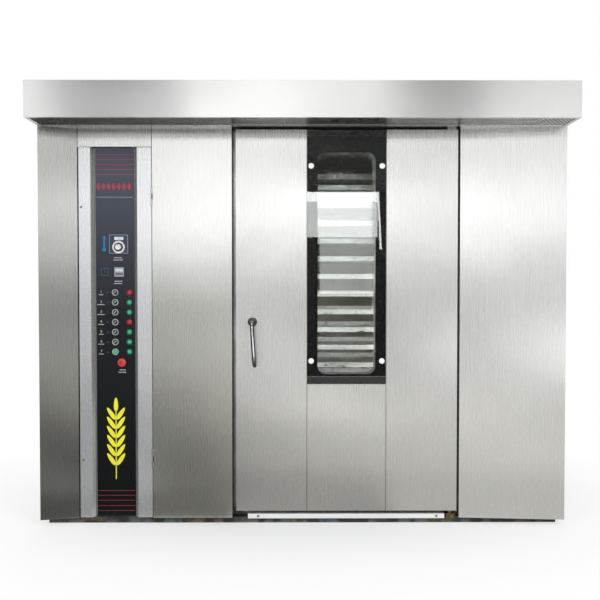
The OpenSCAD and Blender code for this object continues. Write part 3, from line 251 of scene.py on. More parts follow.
# ---- Base frame and posts --------------------------------------------------------------
# Welded mild-steel box section with black paint. It stands on the shop floor, so the paint of
# its foot is scuffed down to the primer.
def finish(name, low, high, spots_mm, roughness, depth_mm=0.0, metallic=0.0,
           contrast=(0.35, 0.65), **sockets):
    """New material whose colour, gloss and relief run from low to high over spots of a size
    in mm, given once or along (x, y, z)."""
    surface = bpy.data.materials.new(name)
    surface.use_nodes = True
    tree = surface.node_tree
    tree.nodes.clear()
    sizes = spots_mm if isinstance(spots_mm, tuple) else (spots_mm,) * 3
    place = add(tree, "ShaderNodeTexCoord")
    scaled = add(tree, "ShaderNodeMapping", [("Vector", place.outputs["Object"]),
                                             ("Scale", [1000 / size for size in sizes])])
    noise = add(tree, "ShaderNodeTexNoise", [("Vector", scaled.outputs[0]), ("Scale", 1.0),
                                             ("Detail", 4.0)])
    spots = add(tree, "ShaderNodeMapRange", [(0, noise.outputs[0]), (1, contrast[0]),
                                             (2, contrast[1])])
    colour = add(tree, "ShaderNodeMix", [(0, spots.outputs[0]), (6, low), (7, high)],
                 data_type="RGBA")
    gloss = add(tree, "ShaderNodeMapRange", [(0, spots.outputs[0]), (3, roughness[0]),
                                             (4, roughness[1])])
    inputs = [("Base Color", colour.outputs[2]), ("Roughness", gloss.outputs[0]),
              ("Metallic", metallic)]
    if depth_mm:
        bump = add(tree, "ShaderNodeBump", [("Height", spots.outputs[0]),
                                            ("Distance", depth_mm * MM)])
        inputs.append(("Normal", bump.outputs[0]))
    inputs += [(key.replace("_", " "), value) for key, value in sockets.items()]
    shader = add(tree, "ShaderNodeBsdfPrincipled", inputs)
    add(tree, "ShaderNodeOutputMaterial", [("Surface", shader.outputs[0])])
    return surface


def wear(surface, *names):
    """Gives the named CAD nodes this material."""
    for name in names:
        mesh = nodes[name].data
        mesh.materials.clear()
        mesh.materials.append(surface)


def place_in(tree):
    """Object coordinates in a material made by finish."""
    return tree.nodes["Texture Coordinate"].outputs["Object"]


def between(tree, axis, start, end, first=0.0, last=1.0):
    """Share that runs from first to last between two places along an axis."""
    measure = add(tree, "ShaderNodeSeparateXYZ", [("Vector", place_in(tree))]).outputs[axis]
    return add(tree, "ShaderNodeMapRange", [(0, measure), (1, start), (2, end), (3, first),
                                            (4, last)]).outputs[0]


def blotches(tree, size_mm, low, high, detail, most=1.0):
    """Share from 0 to most in cloudy blotches, where the clouds run from low to high."""
    clouds = add(tree, "ShaderNodeTexNoise", [("Vector", place_in(tree)),
                                              ("Scale", 1000 / size_mm), ("Detail", detail)])
    return add(tree, "ShaderNodeMapRange", [(0, clouds.outputs[0]), (1, low), (2, high),
                                            (4, most)]).outputs[0]


def cover(tree, share, colour):
    """Lays a colour over the material's own, fully where share is 1."""
    base = tree.nodes["Principled BSDF"].inputs["Base Color"]
    mixed = add(tree, "ShaderNodeMix", [(0, share), (6, base.links[0].from_socket), (7, colour)],
                data_type="RGBA")
    tree.links.new(mixed.outputs[2], base)


frame_paint = finish("black_paint_on_mild_steel", "#1a1817", "#2c2724", (120, 120, 40), (0.45, 0.7),
                     0.3)
tree = frame_paint.node_tree
# the foot of the frame is scuffed to primer, blue-grey and tan in turns a hand span long
PRIMER_MM, CHIP_MM = 200, 62.5
primer = add(tree, "ShaderNodeMix", [(0, blotches(tree, PRIMER_MM, 0.42, 0.58, 1.0)),
                                     (6, "#535e62"), (7, "#655b49")], data_type="RGBA")
foot = between(tree, "Z", 0.002, 0.045, 1.0, 0.1)
bare = add(tree, "ShaderNodeMath", [(0, blotches(tree, CHIP_MM, 0.42, 0.56, 6.0)), (1, foot)],
           operation="MULTIPLY")
cover(tree, bare.outputs[0], primer.outputs[2])
wear(frame_paint, "frame_members")


# ---- Casing, hood and door sheets ------------------------------------------------------
# Folded AISI 304 sheet with a ground finish: the grinding lines run along the sheet, so a
# lamp's reflection is drawn out across them and the steel looks soft and streaked.
# Real lines are about 0.1 mm wide; they are drawn 2.5 mm wide so that they just show.
LINE_MM, LINE_LENGTH_MM = 2.5, 420
PATCH_MM, DENT_MM, DENT_DEPTH_MM = 385, 385, 3.0


def ground_steel(name, light, dark, grain="Z", roughness=(0.262, 0.282), metallic=1.0):
    """Ground sheet whose lines run along X or Z."""
    lines_mm = {"Z": (LINE_MM, LINE_MM, LINE_LENGTH_MM), "X": (LINE_LENGTH_MM, LINE_MM, LINE_MM)}
    surface = finish(name, dark, light, lines_mm[grain], roughness, metallic=metallic,
                     contrast=(0.3, 0.7), Anisotropic=0.75, Anisotropic_Rotation=0.25)
    tree = surface.node_tree
    shader = tree.nodes["Principled BSDF"]
    # hands and cloths leave soft patches two hand spans wide
    patches = add(tree, "ShaderNodeMix", [(0, blotches(tree, PATCH_MM, 0.3, 0.7, 3.0)), (6, dark),
                                          (7, light)], data_type="RGBA")
    cover(tree, 0.62, patches.outputs[2])
    # the lines run upright, so the highlight is drawn out level, and the other way round
    direction = {"Z": (0.05, 0.03, 1.0), "X": (1.0, 0.05, 0.03)}[grain]
    axis = add(tree, "ShaderNodeCombineXYZ", list(enumerate(direction)))
    turned_axis = add(tree, "ShaderNodeVectorTransform", [("Vector", axis.outputs[0])],
                      vector_type="VECTOR", convert_from="OBJECT", convert_to="WORLD")
    tree.links.new(turned_axis.outputs[0], shader.inputs["Tangent"])
    # thin sheet is never quite flat: shallow dents as wide bend what it mirrors
    dents = add(tree, "ShaderNodeTexNoise", [("Vector", place_in(tree)),
                                             ("Scale", 1000 / DENT_MM), ("Detail", 1.0)])
    bump = add(tree, "ShaderNodeBump", [("Height", dents.outputs[0]),
                                        ("Distance", DENT_DEPTH_MM * MM)])
    tree.links.new(bump.outputs[0], shader.inputs["Normal"])
    return surface


# Each folded sheet comes from another coil, so neighbours differ a little in tone
casing_steel = ground_steel("ground_stainless_sheet", "#d3d3d2", "#c8c8c7")
bright_steel = ground_steel("ground_stainless_right", "#dcdcdb", "#d3d3d2")
FRONT = -0.63
# Past this depth a sheet has folded back; EDGE is the width of a sharp border
FOLD_Y, EDGE = FRONT + 0.0015, 0.0001
# black painted into the seams between sheets: painted shade
PAINTED_SEAM_SHADE = "#1b1b1a"
# the corner sheet's tones, far darker than its neighbours', are painted shade
for name, node, light, dark, painted_lower_shade in (
        ("middle", "front_mid_panel", "#dadad9", "#cfcfcd", "#c0c0ba"),
        ("corner", "front_corner_panel", "#a9a9a6", "#9c9c99", "#90908c")):
    surface = ground_steel("ground_stainless_" + name, light, dark)
    tree = surface.node_tree
    # the lower half of the two left sheets is painted darker: painted shade
    cover(tree, between(tree, "Z", 1.06, 1.34, 1.0, 0.0), painted_lower_shade)
    # and the folded edges that face each other in the seams are painted black: painted shade in the
    # seams
    cover(tree, between(tree, "Y", FOLD_Y, FOLD_Y + EDGE), PAINTED_SEAM_SHADE)
    wear(surface, node)
hood_steel = ground_steel("ground_stainless_hood", "#d4d4d4", "#c9c9c8", grain="X",
                          roughness=(0.23, 0.26))
wear(casing_steel, "control_header", "casing_panels", "door_left_section",
     "door_right_section", "door_centre_panel")
wear(bright_steel, "front_right_panel")
wear(hood_steel, "hood_shell")

# The roof is the same sheet with its mill finish, dusty because nobody wipes it
wear(finish("dusty_mill_finish_steel", "#bcbbb8", "#b3b0aa", (160, 160, 90), (0.42, 0.6), 0.1,
            metallic=1.0), "roof_panel")


# ---- Hood grille -----------------------------------------------------------------------
# Perforated stainless sheet that lies on the rim of the hood and lets the steam in. The
# holes stand in staggered rows, 20 mm apart, punched through 1 mm sheet.
def piece(name, verts, faces, surface, body):
    """Mesh that the CAD leaves to this script, riding on one of the bodies."""
    mesh = bpy.data.meshes.new(name)
    mesh.from_pydata([tuple(v) for v in verts], [], faces)
    mesh.materials.append(surface)
    mesh.update()
    obj = bpy.data.objects.new(name, mesh)
    bpy.context.scene.collection.objects.link(obj)
    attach(obj, body)
    return obj


HOLE_MM, PITCH_MM, SHEET_MM = 14.5, 20, 1.0


def perforated_sheet(name, low, high, surface, body):
    rows = round((high.y - low.y) / (PITCH_MM * MM * math.sqrt(0.75)))
    columns = round((high.x - low.x) / (PITCH_MM * MM))
    step_x, step_y = (high.x - low.x) / (columns + 0.5), (high.y - low.y) / rows
    verts, index, faces = [], {}, []

    def vert(x, y):
        key = (round(x, 6), round(y, 6))
        if key not in index:
            index[key] = len(verts)
            verts.append((x, y, low.z + 0.5 * SHEET_MM * MM))
        return index[key]

    for row in range(rows):
        for column in range(columns):
            xa, ya = low.x + (column + 0.5 * (row % 2)) * step_x, low.y + row * step_y
            xc, yc = xa + step_x / 2, ya + step_y / 2
            edge = [vert(x, y) for x, y in ((xa, ya), (xc, ya), (xa + step_x, ya),
                                            (xa + step_x, ya + step_y), (xc, ya + step_y),
                                            (xa, ya + step_y))]
            ring = []
            for degrees in range(-150, 210, 30):
                turn = math.radians(degrees)
                ring.append(vert(xc + HOLE_MM / 2 * MM * math.cos(turn),
                                 yc + HOLE_MM / 2 * MM * math.sin(turn)))
            for k in range(6):
                faces.append((edge[k], edge[(k + 1) % 6], ring[(2 * k + 2) % 12], ring[2 * k + 1],
                              ring[2 * k]))
    obj = piece(name, verts, faces, surface, body)
    thick = obj.modifiers.new("sheet", "SOLIDIFY")
    thick.thickness = SHEET_MM * MM
    thick.offset = 1.0
    return obj


grille_steel = finish("punched_stainless_sheet", "#e6e6e4", "#cdccc8", 60, (0.26, 0.36),
                      metallic=1.0, contrast=(0.4, 0.65))
# the sheet is painted darker towards its left end, and again over the window
tree = grille_steel.node_tree
grille_darkening = add(tree, "ShaderNodeValToRGB", [("Fac", between(tree, "X", -1.3, 1.3))])
stops = ((0.0, 0.99), (0.135, 0.86), (0.31, 0.70), (0.44, 0.32), (0.615, 0.5), (0.74, 0.36),
         (0.865, 0.0))
for position, share in stops[1:-1]:
    grille_darkening.color_ramp.elements.new(position)
grille_darkening.color_ramp.elements[-1].position = stops[-1][0]
for element, (position, share) in zip(grille_darkening.color_ramp.elements, stops):
    element.color = (share, share, share, 1.0)
cover(tree, grille_darkening.outputs[0], "#1e1d1c")
grille = perforated_sheet("hood_grille_sheet", *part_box("hood_grille"), grille_steel, "oven")
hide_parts("hood_grille")


# ---- Control door ----------------------------------------------------------------------
# Folded steel door with a hat-shaped recess. A printed film covers the fascia: slate grey
# at the top that runs into black, with thin red lines and marks for the row of switches.
pan_steel = ground_steel("ground_stainless_pan", "#d9dadc", "#d0d1d3", metallic=0.75)
tree = pan_steel.node_tree
pan_low, pan_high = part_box("control_door_pan")
half_width = 0.5 * (pan_high.x - pan_low.x)
across = add(tree, "ShaderNodeSeparateXYZ", [("Vector", place_in(tree))]).outputs["X"]
offset = add(tree, "ShaderNodeMath", [(0, across), (1, 0.5 * (pan_low.x + pan_high.x))],
             operation="SUBTRACT")
offset = add(tree, "ShaderNodeMath", [(0, offset.outputs[0])], operation="ABSOLUTE")
# the folded walls of the recess are painted darker, as painted shade, while the pan's
# outer edges are painted as black as the seam shade of the sheets beside them
outer = add(tree, "ShaderNodeMath", [(0, offset.outputs[0]), (1, half_width - 0.012)],
            operation="GREATER_THAN")
painted_wall_shade = add(tree, "ShaderNodeMix", [(0, outer.outputs[0]), (6, "#c0c1be"), (7, PAINTED_SEAM_SHADE)],
            data_type="RGBA")
cover(tree, between(tree, "Y", FOLD_Y, FOLD_Y + EDGE), painted_wall_shade.outputs[2])
# the seam shade is painted round the fold and shows as a black line from the front
painted_seam_line = add(tree, "ShaderNodeMath", [(0, offset.outputs[0]), (1, half_width - 0.0035)],
          operation="GREATER_THAN")
cover(tree, painted_seam_line.outputs[0], PAINTED_SEAM_SHADE)
wear(pan_steel, "control_door_pan")
FASCIA_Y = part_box("control_fascia")[0].y
FASCIA_LEFT, FASCIA_RIGHT = -1033, -841
PRINT_MM = 0.4


def sharpen(mesh, angle=32):
    mesh.shade_smooth()
    mesh.set_sharp_from_angle(angle=math.radians(angle))


def face_outwards(mesh):
    work = bmesh.new()
    work.from_mesh(mesh)
    bmesh.ops.recalc_face_normals(work, faces=work.faces)
    work.to_mesh(mesh)
    work.free()


def cut_plates(name, outlines, front, thick_mm, surface, body, bevel_mm=0.0):
    """Flat pieces that face the front, cut to outlines of (x, z) in mm."""
    verts, faces = [], []
    for outline in outlines:
        first, count = len(verts), len(outline)
        verts += [(x * MM, front, z * MM) for x, z in outline]
        verts += [(x * MM, front + thick_mm * MM, z * MM) for x, z in outline]
        faces.append(tuple(range(first, first + count)))
        faces.append(tuple(range(first + 2 * count - 1, first + count - 1, -1)))
        for k in range(count):
            a, b = first + k, first + (k + 1) % count
            faces.append((a, b, b + count, a + count))
    obj = piece(name, verts, faces, surface, body)
    face_outwards(obj.data)
    if bevel_mm:
        bevel = obj.modifiers.new("edge", "BEVEL")
        bevel.width = bevel_mm * MM
        bevel.segments = 3
        bevel.limit_method = "ANGLE"
        sharpen(obj.data, 50)
    return obj


def rectangle(x0, x1, z0, z1):
    return [(x0, z0), (x1, z0), (x1, z1), (x0, z1)]


def rounded(x, z, width, height, radius):
    points = []
    for cx, cz, start in ((1, 1, 0), (-1, 1, 90), (-1, -1, 180), (1, -1, 270)):
        for degrees in range(start, start + 91, 15):
            turn = math.radians(degrees)
            points.append((x + cx * (width / 2 - radius) + radius * math.cos(turn),
                           z + cz * (height / 2 - radius) + radius * math.sin(turn)))
    return points


film = finish("printed_polyester_film", "#1e2126", "#24282e", 2.5, (0.34, 0.42), 0.05,
              Specular_IOR_Level=0.22)
tree = film.node_tree
shades = add(tree, "ShaderNodeValToRGB", [("Fac", between(tree, "Z", 0.35, 1.75))])
shades.color_ramp.elements[0].color = linear("#020303")
shades.color_ramp.elements[1].color = linear("#4a4e57")
shades.color_ramp.elements.new(0.5).color = linear("#15181c")
cover(tree, 0.88, shades.outputs[0])
wear(film, "control_fascia")

INK_MM = 6


def screen_ink(name, low, high):
    """Screen-printed ink: matt, slightly uneven and a few microns thick."""
    return finish(name + "_screen_ink", low, high, INK_MM, (0.45, 0.55))


red_ink = screen_ink("red", "#a83a46", "#93323d")
white_ink = screen_ink("white", "#c9cdd2", "#aeb3b9")
blue_ink = screen_ink("blue", "#2174b4", "#1d639b")
dim_blue_ink = screen_ink("dim_blue", "#2c5674", "#24475f")
yellow_ink = screen_ink("yellow", "#ebe626", "#dbd41c")
print_y = FASCIA_Y - PRINT_MM * MM

lines_z = [1845, 1820, 1795, 1771, 1746, 163, 139, 114, 87, 62]
lines = [rectangle(FASCIA_LEFT + 3, FASCIA_RIGHT, z - 0.9, z + 0.9) for z in lines_z]
# seven red lozenges lie in a row under the upper lines
lozenges = []
for i in range(7):
    x, z = FASCIA_LEFT + 16 + i * 25.5, 1686
    lozenges.append([(x - 10, z), (x, z - 20), (x + 10, z), (x, z + 20)])
dull_bead = finish("dull_drawn_bead", "#7e807c", "#6a6c68", (4, 4, 60), (0.4, 0.5), 0.05,
                   metallic=0.3)
bead = cut_plates("film_edge_bead", [rectangle(-1036.2, -1031.2, 37, 1876)],
                  print_y - 0.4 * MM, 1.0, dull_bead, "control_door")


def stamp(name, outlines, ink):
    """Print on the film of the fascia."""
    cut_plates(name, outlines, print_y, 0.6, ink, "control_door")


stamp("red_print", lines + lozenges, red_ink)
# pale dashes lie in rows beside the instruments and the switches
white_marks = [rectangle(x, x + 5.5, 1632, 1635) for x in range(-1025, -852, 12)]
for x, z, count in ((-941, 1330, 5), (-944, 1319, 6), (-938, 1213, 5), (-941, 1202, 5),
                    (-917, 769, 4), (-922, 757, 5)):
    white_marks += [rectangle(x + 8 * k, x + 8 * k + 5.5, z, z + 4) for k in range(count)]
ROW_Z = [1159 - 49.5 * i for i in range(7)]
for i, z in enumerate(ROW_Z):
    count = (4, 6, 6, 5, 4, 5, 4)[i]
    white_marks += [rectangle(x, x + 4.6, z - 13, z - 9.5)
                    for x in range(-1007 - 3 * count, -1007 + 3 * count, 6)]
stamp("white_print", white_marks, white_ink)

# thermometer and clock signs beside the two instruments
tube = rounded(-990, 1411, 9, 60, 4.4)
bulb = rounded(-990, 1373, 20, 20, 9.9)
ticks = [rectangle(-982, -976, z - 1.2, z + 1.2) for z in range(1390, 1440, 10)]
stamp("thermometer_sign", [tube, bulb] + ticks, blue_ink)
frame_bars = [rectangle(-1006, -970, z, z + 2.4) for z in (1244, 1278)]
frame_bars += [rectangle(x, x + 2.4, 1246.4, 1278) for x in (-1006, -972.4)]
hands = [rectangle(-989.2, -986.8, 1260, 1273), rectangle(-986.8, -979, 1260, 1262.4)]
row_signs = [rectangle(-979, -970, z - 4, z - 1.5) for z in ROW_Z]
row_signs += [rectangle(-976, -973.5, z - 1.5, z + 5) for z in ROW_Z]
stamp("clock_sign", frame_bars + hands + row_signs, dim_blue_ink)

# an ear of wheat in the lower part: grains in pairs on a stalk
EAR_X, EAR_LOW, EAR_HIGH = -936, 222, 628


def grain_outline(x, z, length, width, lean):
    """Pointed oval that starts at (x, z) and leans by an angle from upright."""
    points = []
    for k in range(20):
        turn = 2 * math.pi * k / 20
        along = length / 2 * (1 - math.cos(turn))
        across = width / 2 * math.sin(turn) * (1 - 0.35 * along / length)
        a = math.radians(lean)
        points.append((x + across * math.cos(a) + along * math.sin(a),
                       z - across * math.sin(a) + along * math.cos(a)))
    return points


grains = [rectangle(EAR_X - 2.5, EAR_X + 2.5, EAR_LOW, EAR_HIGH - 60)]
for i in range(6):
    z = EAR_LOW + 70 + i * 46
    for side in (-1, 1):
        grains.append(grain_outline(EAR_X + side * 4, z, 72, 25, side * 34))
grains.append(grain_outline(EAR_X, EAR_HIGH - 66, 70, 26, 0))
stamp("wheat_ear", grains, yellow_ink)


def printed_number(name, value, height_mm, thick_mm, place, ink):
    """Number that faces the front and rides on the control door."""
    text = bpy.data.curves.new(name, "FONT")
    text.body = str(value)
    text.size = height_mm * MM
    text.align_x, text.align_y = "CENTER", "CENTER"
    text.extrude = thick_mm * MM
    text.materials.append(ink)
    number = bpy.data.objects.new(name, text)
    bpy.context.scene.collection.objects.link(number)
    number.location = place
    number.rotation_euler = (math.radians(90), 0, 0)
    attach(number, "control_door")


for i, z in enumerate(ROW_Z, 1):
    printed_number("row_number_%d" % i, i, 17, 0.2, (-1.007, FASCIA_Y - 0.0002, (z + 3) * MM),
                   white_ink)


def turned(name, centres, profile, surface, body, closed=False, steps=40):
    """Round pieces that face the front: profile is (radius, distance outwards) in mm."""
    verts, faces = [], []
    for cx, cy, cz in centres:
        first = len(verts)
        for radius, out in profile:
            for k in range(steps):
                turn = 2 * math.pi * k / steps
                verts.append((cx + radius * MM * math.cos(turn), cy - out * MM,
                              cz + radius * MM * math.sin(turn)))
        rows = len(profile)
        for i in range(rows if closed else rows - 1):
            for k in range(steps):
                a, b = first + i * steps, first + (i + 1) % rows * steps
                k1 = (k + 1) % steps
                faces.append((a + k, a + k1, b + k1, b + k))
        if not closed:
            faces.append(tuple(first + k for k in range(steps)))
            faces.append(tuple(first + (rows - 1) * steps + k for k in range(steps)))
    obj = piece(name, verts, faces, surface, body)
    face_outwards(obj.data)
    sharpen(obj.data)
    return obj


# Raised countersunk screws hold the pan's left strip
screw_steel = finish("stainless_screw", "#c9c7c2", "#8f8c86", 2, (0.2, 0.4), metallic=1.0)
dark_slot = finish("shadow_in_a_recess", "#15130f", "#2b2823", 1, (0.75, 0.85))


def cross_screws(name, centres, radius, body, dome=2.2):
    """Raised countersunk screws with a cross recess."""
    heads = turned(name, centres, [(radius, -0.5), (radius, 0.4 * dome),
                                   (radius * 0.86, 0.8 * dome), (radius * 0.5, dome)],
                   screw_steel, body)
    bars = []
    for x, y, z in centres:
        for long, short in ((0.55, 0.13), (0.13, 0.55)):
            bars.append(rectangle((x / MM) - radius * long, (x / MM) + radius * long,
                                  (z / MM) - radius * short, (z / MM) + radius * short))
    recess = cut_plates(name + "_recess", bars, centres[0][1] - (dome + 0.15) * MM, 1.0, dark_slot,
                        body)


cross_screws("strip_screws", [(-1.099, FRONT, 1.583), (-1.095, FRONT, 0.322)], 6.0,
             "control_door")


# ---- Temperature controller and timer --------------------------------------------------
# Two panel instruments in moulded ABS cases, snapped into the fascia from the front. The
# controller has a pale display and a white scale round its dial; the timer is a small one.
CONTROLLER_X, CONTROLLER_Z, DIAL_Z = -917, 1400, 1385
TIMER_X, TIMER_Z = -915, 1261
BEZEL_MM = 8
case_plastic = finish("moulded_grey_blue_abs", "#7b8189", "#6c727a", 1.5, (0.38, 0.5), 0.03,
                      Specular_IOR_Level=0.45)
face_plastic = finish("dark_instrument_face", "#262e3b", "#2e3746", 1.2, (0.3, 0.42), 0.02)
light_plastic = finish("moulded_light_grey_abs", "#8d9297", "#7e8388", 1.5, (0.4, 0.5), 0.03)
display = finish("liquid_crystal_display", "#c5cfd6", "#b3bfc8", 3, (0.12, 0.2),
                 Emission_Color=linear("#b8c4cc"), Emission_Strength=0.25, Coat_Weight=1.0)
key_plastic = finish("moulded_dark_key", "#3b424d", "#49505c", 1, (0.45, 0.6), 0.02)
white_plastic = finish("white_printed_scale", "#e2e2de", "#cfcfca", 2, (0.4, 0.5))
black_ink = screen_ink("black", "#1b1c1e", "#26282b")

bezel_y = FASCIA_Y - BEZEL_MM * MM


def mount(name, outlines, rise_mm, thick_mm, surface, bevel_mm=0.0):
    """Part of an instrument whose face stands off the bezel by a rise."""
    obj = cut_plates(name, outlines, bezel_y - rise_mm * MM, thick_mm, surface, "control_door",
                     bevel_mm)
    return obj


case = mount("controller_case", [rounded(CONTROLLER_X, CONTROLLER_Z, 96, 96, 5)], 0,
             BEZEL_MM - 0.2, case_plastic, 1.6)
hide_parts("instruments")
mount("controller_face", [rounded(CONTROLLER_X, CONTROLLER_Z, 87, 87, 3)], 0.4, 0.8, face_plastic)
DISPLAY_Z = 1428
mount("controller_display", [rounded(CONTROLLER_X + 2, DISPLAY_Z, 44, 15, 1.5)], 0.8, 0.6, display,
      0.2)
digits = []
place_of = {"a": (0, 4.6, 6, 1), "d": (0, -4.6, 6, 1), "g": (0, 0, 6, 1), "b": (3.2, 2.4, 1, 4),
            "c": (3.2, -2.4, 1, 4), "e": (-3.2, -2.4, 1, 4), "f": (-3.2, 2.4, 1, 4)}
for x, segments in ((-926, "bc"), (-915, "abcdefg"), (-904, "abcdef")):
    for key in segments:
        dx, dz, w, h = place_of[key]
        digits.append(rectangle(x + dx - w / 2, x + dx + w / 2, DISPLAY_Z + dz - h / 2,
                                DISPLAY_Z + dz + h / 2))
mount("display_digits", digits, 0.95, 0.2, black_ink)
scale = turned("controller_scale", [(CONTROLLER_X * MM, bezel_y - 0.8 * MM, DIAL_Z * MM)],
               [(22.4, 0), (31, 0), (31, -0.6), (22.4, -0.6)], white_plastic, "control_door",
               closed=True, steps=72)
scale_marks = []
for i in range(31):
    turn = math.radians(-240 + 10 * i)
    start = 27.4 if i % 5 == 0 else 28.8
    along = (math.cos(turn), math.sin(turn))
    across = (-along[1] * 0.35, along[0] * 0.35)
    scale_marks.append([(CONTROLLER_X + r * along[0] + s * across[0],
                         DIAL_Z + r * along[1] + s * across[1])
                        for r, s in ((start, -1), (30.4, -1), (30.4, 1), (start, 1))])
mount("controller_scale_marks", scale_marks, 0.95, 0.2, black_ink)
for value in range(0, 301, 50):
    turn = math.radians(240 - value)
    printed_number("scale_number_%d" % value, value, 3.8, 0.1,
                   (CONTROLLER_X * MM + 0.0250 * math.cos(turn), bezel_y - 0.00095,
                    DIAL_Z * MM + 0.0250 * math.sin(turn)), black_ink)

mount("timer_case", [rounded(TIMER_X, TIMER_Z, 48, 48, 3)], 0, BEZEL_MM - 0.2, light_plastic, 1.2)
mount("timer_display", [rounded(TIMER_X, TIMER_Z + 9, 36, 13, 1.2)], 0.4, 0.8, display)
keys = [rounded(TIMER_X + dx, TIMER_Z - 10, 8, 8, 1.6) for dx in (-14, -4.7, 4.7, 14)]
mount("timer_keys", keys, 0.8, 1.0, key_plastic, 0.4)
timer_digits = []
for x in (-927, -919, -911, -903):
    for dz in (-4, 0, 4):
        timer_digits.append(rectangle(x - 2, x + 2, TIMER_Z + 9 + dz - 0.5, TIMER_Z + 9 + dz + 0.5))
    timer_digits.append(rectangle(x + 2, x + 2.9, TIMER_Z + 5.2, TIMER_Z + 12.8))
mount("timer_digits", timer_digits, 0.55, 0.2, black_ink)

# The dial: a dark skirt under a light knob with one groove, on the controller's shaft
dial_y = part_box("temperature_dial")[1].y
dial_centre = [(CONTROLLER_X * MM, dial_y, DIAL_Z * MM)]
skirt = turned("dial_skirt", dial_centre, [(2, 0), (21.8, 0), (21.8, 2.6), (20.5, 4.0), (2, 4.0)],
               face_plastic, "dial", steps=64)
knob = turned("dial_knob", dial_centre, [(2, 4.0), (14.5, 4.0), (14.0, 12), (13.6, 16.4),
                                         (12.0, 17.8), (2, 18)], white_plastic, "dial", steps=64)
groove = cut_plates("dial_mark", [rectangle(CONTROLLER_X - 1, CONTROLLER_X + 1, DIAL_Z + 1,
                                            DIAL_Z + 11.5)],
                    dial_y - 18.0 * MM, 1.0, black_ink, "dial")
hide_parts("temperature_dial")


# ---- Selector switches, pilot lamps and buttons ----------------------------------------
# 22 mm control units held by a threaded collar behind the fascia: chromed zinc rings, black
# polyamide handles with a white line, moulded lenses, and a red mushroom head on a black
# collar.
SELECTOR_X, LAMP_X, STOP_X, STOP_Z = -936, -866, -901, 810
chrome_ring = finish("satin_chromed_ring", "#eceded", "#dfe0e1", 4, (0.3, 0.4), metallic=0.6)
handle_black = finish("black_glass_filled_polyamide", "#17181a", "#202224", 0.8, (0.36, 0.5), 0.03)
lit_green = finish("lit_green_button", "#159a5c", "#128a52", 4, (0.2, 0.3), Coat_Weight=0.6,
                   Emission_Color=linear("#2fae6c"), Emission_Strength=0.25)
mushroom_red = finish("moulded_red_mushroom", "#d94a45", "#cd3f3b", 3, (0.2, 0.32), 0.02,
                      Coat_Weight=0.5)
# the mushroom is painted lighter at its rim and deeper red in its middle
tree = mushroom_red.node_tree
spread = add(tree, "ShaderNodeVectorMath", [(0, place_in(tree)),
                                            (1, (STOP_X * MM, 0.0, STOP_Z * MM))],
             operation="SUBTRACT")
flat = add(tree, "ShaderNodeVectorMath", [(0, spread.outputs[0]), (1, (1.0, 0.0, 1.0))],
           operation="MULTIPLY")
radius = add(tree, "ShaderNodeVectorMath", [(0, flat.outputs[0])], operation="LENGTH")
middle = add(tree, "ShaderNodeMapRange", [(0, radius.outputs["Value"]), (1, 0.008), (2, 0.019),
                                          (3, 1.0), (4, 0.0)])
cover(tree, middle.outputs[0], "#bd141c")

rings = turned("switch_rings", [(SELECTOR_X * MM, FASCIA_Y, z * MM) for z in ROW_Z],
               [(12.8, -0.2), (12.8, 6.8), (13.1, 7.0), (15.1, 7.0), (15.6, 6.4), (15.6, -0.2)],
               chrome_ring, "control_door", closed=True, steps=48)
lamp_rings = turned("lamp_rings", [(LAMP_X * MM, FASCIA_Y, z * MM) for z in ROW_Z],
                    [(13.4, -0.2), (13.4, 1.8), (15.6, 1.8), (16.0, 1.2), (16.0, -0.2)],
                    handle_black, "control_door", closed=True, steps=48)
lens_profile = [(3, 0.2), (13.6, 0.2), (14.2, 1.0), (14.2, 4.0), (13.4, 5.6), (11.0, 7.2),
                (8.6, 8.2), (7.6, 8.2), (7.4, 7.4), (0.4, 7.4)]
# the lighter core of each lens is partly the glow of the lit lamp and partly a painted highlight
highlight_core_profile = [(0.4, 7.0), (7.2, 7.0), (7.2, 8.4), (6.2, 9.2), (4.0, 9.8), (0.4, 10.0)]
# rows, two tones of the lens, two of the lighter core, its glow and how strong that is
LENSES = {"red": ((0, 3), ("#a00f28", "#930c24"), ("#be1a32", "#ae152b"), "#c81c36", 0.15),
          "green": ((1, 2, 4, 5, 6), ("#00805a", "#007551"), ("#10b67e", "#0da673"), "#18b884",
                    0.18)}
for name, (rows, lens_tones, highlight_core_tones, glow, strength) in LENSES.items():
    centres = [(LAMP_X * MM, FASCIA_Y, ROW_Z[i] * MM) for i in rows]
    lens_plastic = finish(name + "_lens", *lens_tones, 4, (0.14, 0.22), Coat_Weight=0.8)
    highlight_core_plastic = finish(name + "_lens_core", *highlight_core_tones, 3, (0.2, 0.3),
                          Emission_Color=linear(glow), Emission_Strength=strength)
    lenses = turned(name + "_lenses", centres, lens_profile, lens_plastic, "control_door", steps=48)
    cores = turned(name + "_lens_cores", centres, highlight_core_profile, highlight_core_plastic, "control_door",
                   steps=32)
    if name == "red":
        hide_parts("pilot_lamps")
collar = turned("stop_collar", [(STOP_X * MM, FASCIA_Y, STOP_Z * MM)],
                [(8.6, -0.2), (8.6, 8.6), (9.6, 9.4), (14.4, 9.4), (16.0, 7.4), (16.0, -0.2)],
                handle_black, "control_door", closed=True, steps=64)
backing = turned("stop_backing_plate", [(STOP_X * MM, FASCIA_Y, STOP_Z * MM)],
                 [(8.6, -0.2), (8.6, 1.0), (22.5, 1.0), (23.0, -0.2)], handle_black,
                 "control_door", closed=True, steps=64)

wear(handle_black, *["selector_%d" % i for i in range(1, 7)])
wear(lit_green, "start_button")
wear(mushroom_red, "estop_button")
for i, z in enumerate(ROW_Z[:6], 1):
    a = math.sqrt(0.5)
    line = [(SELECTOR_X + a * (s - t), z + a * (s + t))
            for s, t in ((-9.5, -1.6), (9.5, -1.6), (9.5, 1.6), (-9.5, 1.6))]
    mark = cut_plates("selector_line_%d" % i, [line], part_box("selector_%d" % i)[0].y - 0.0002, 0.5,
                      white_ink, "switch_%d" % i)


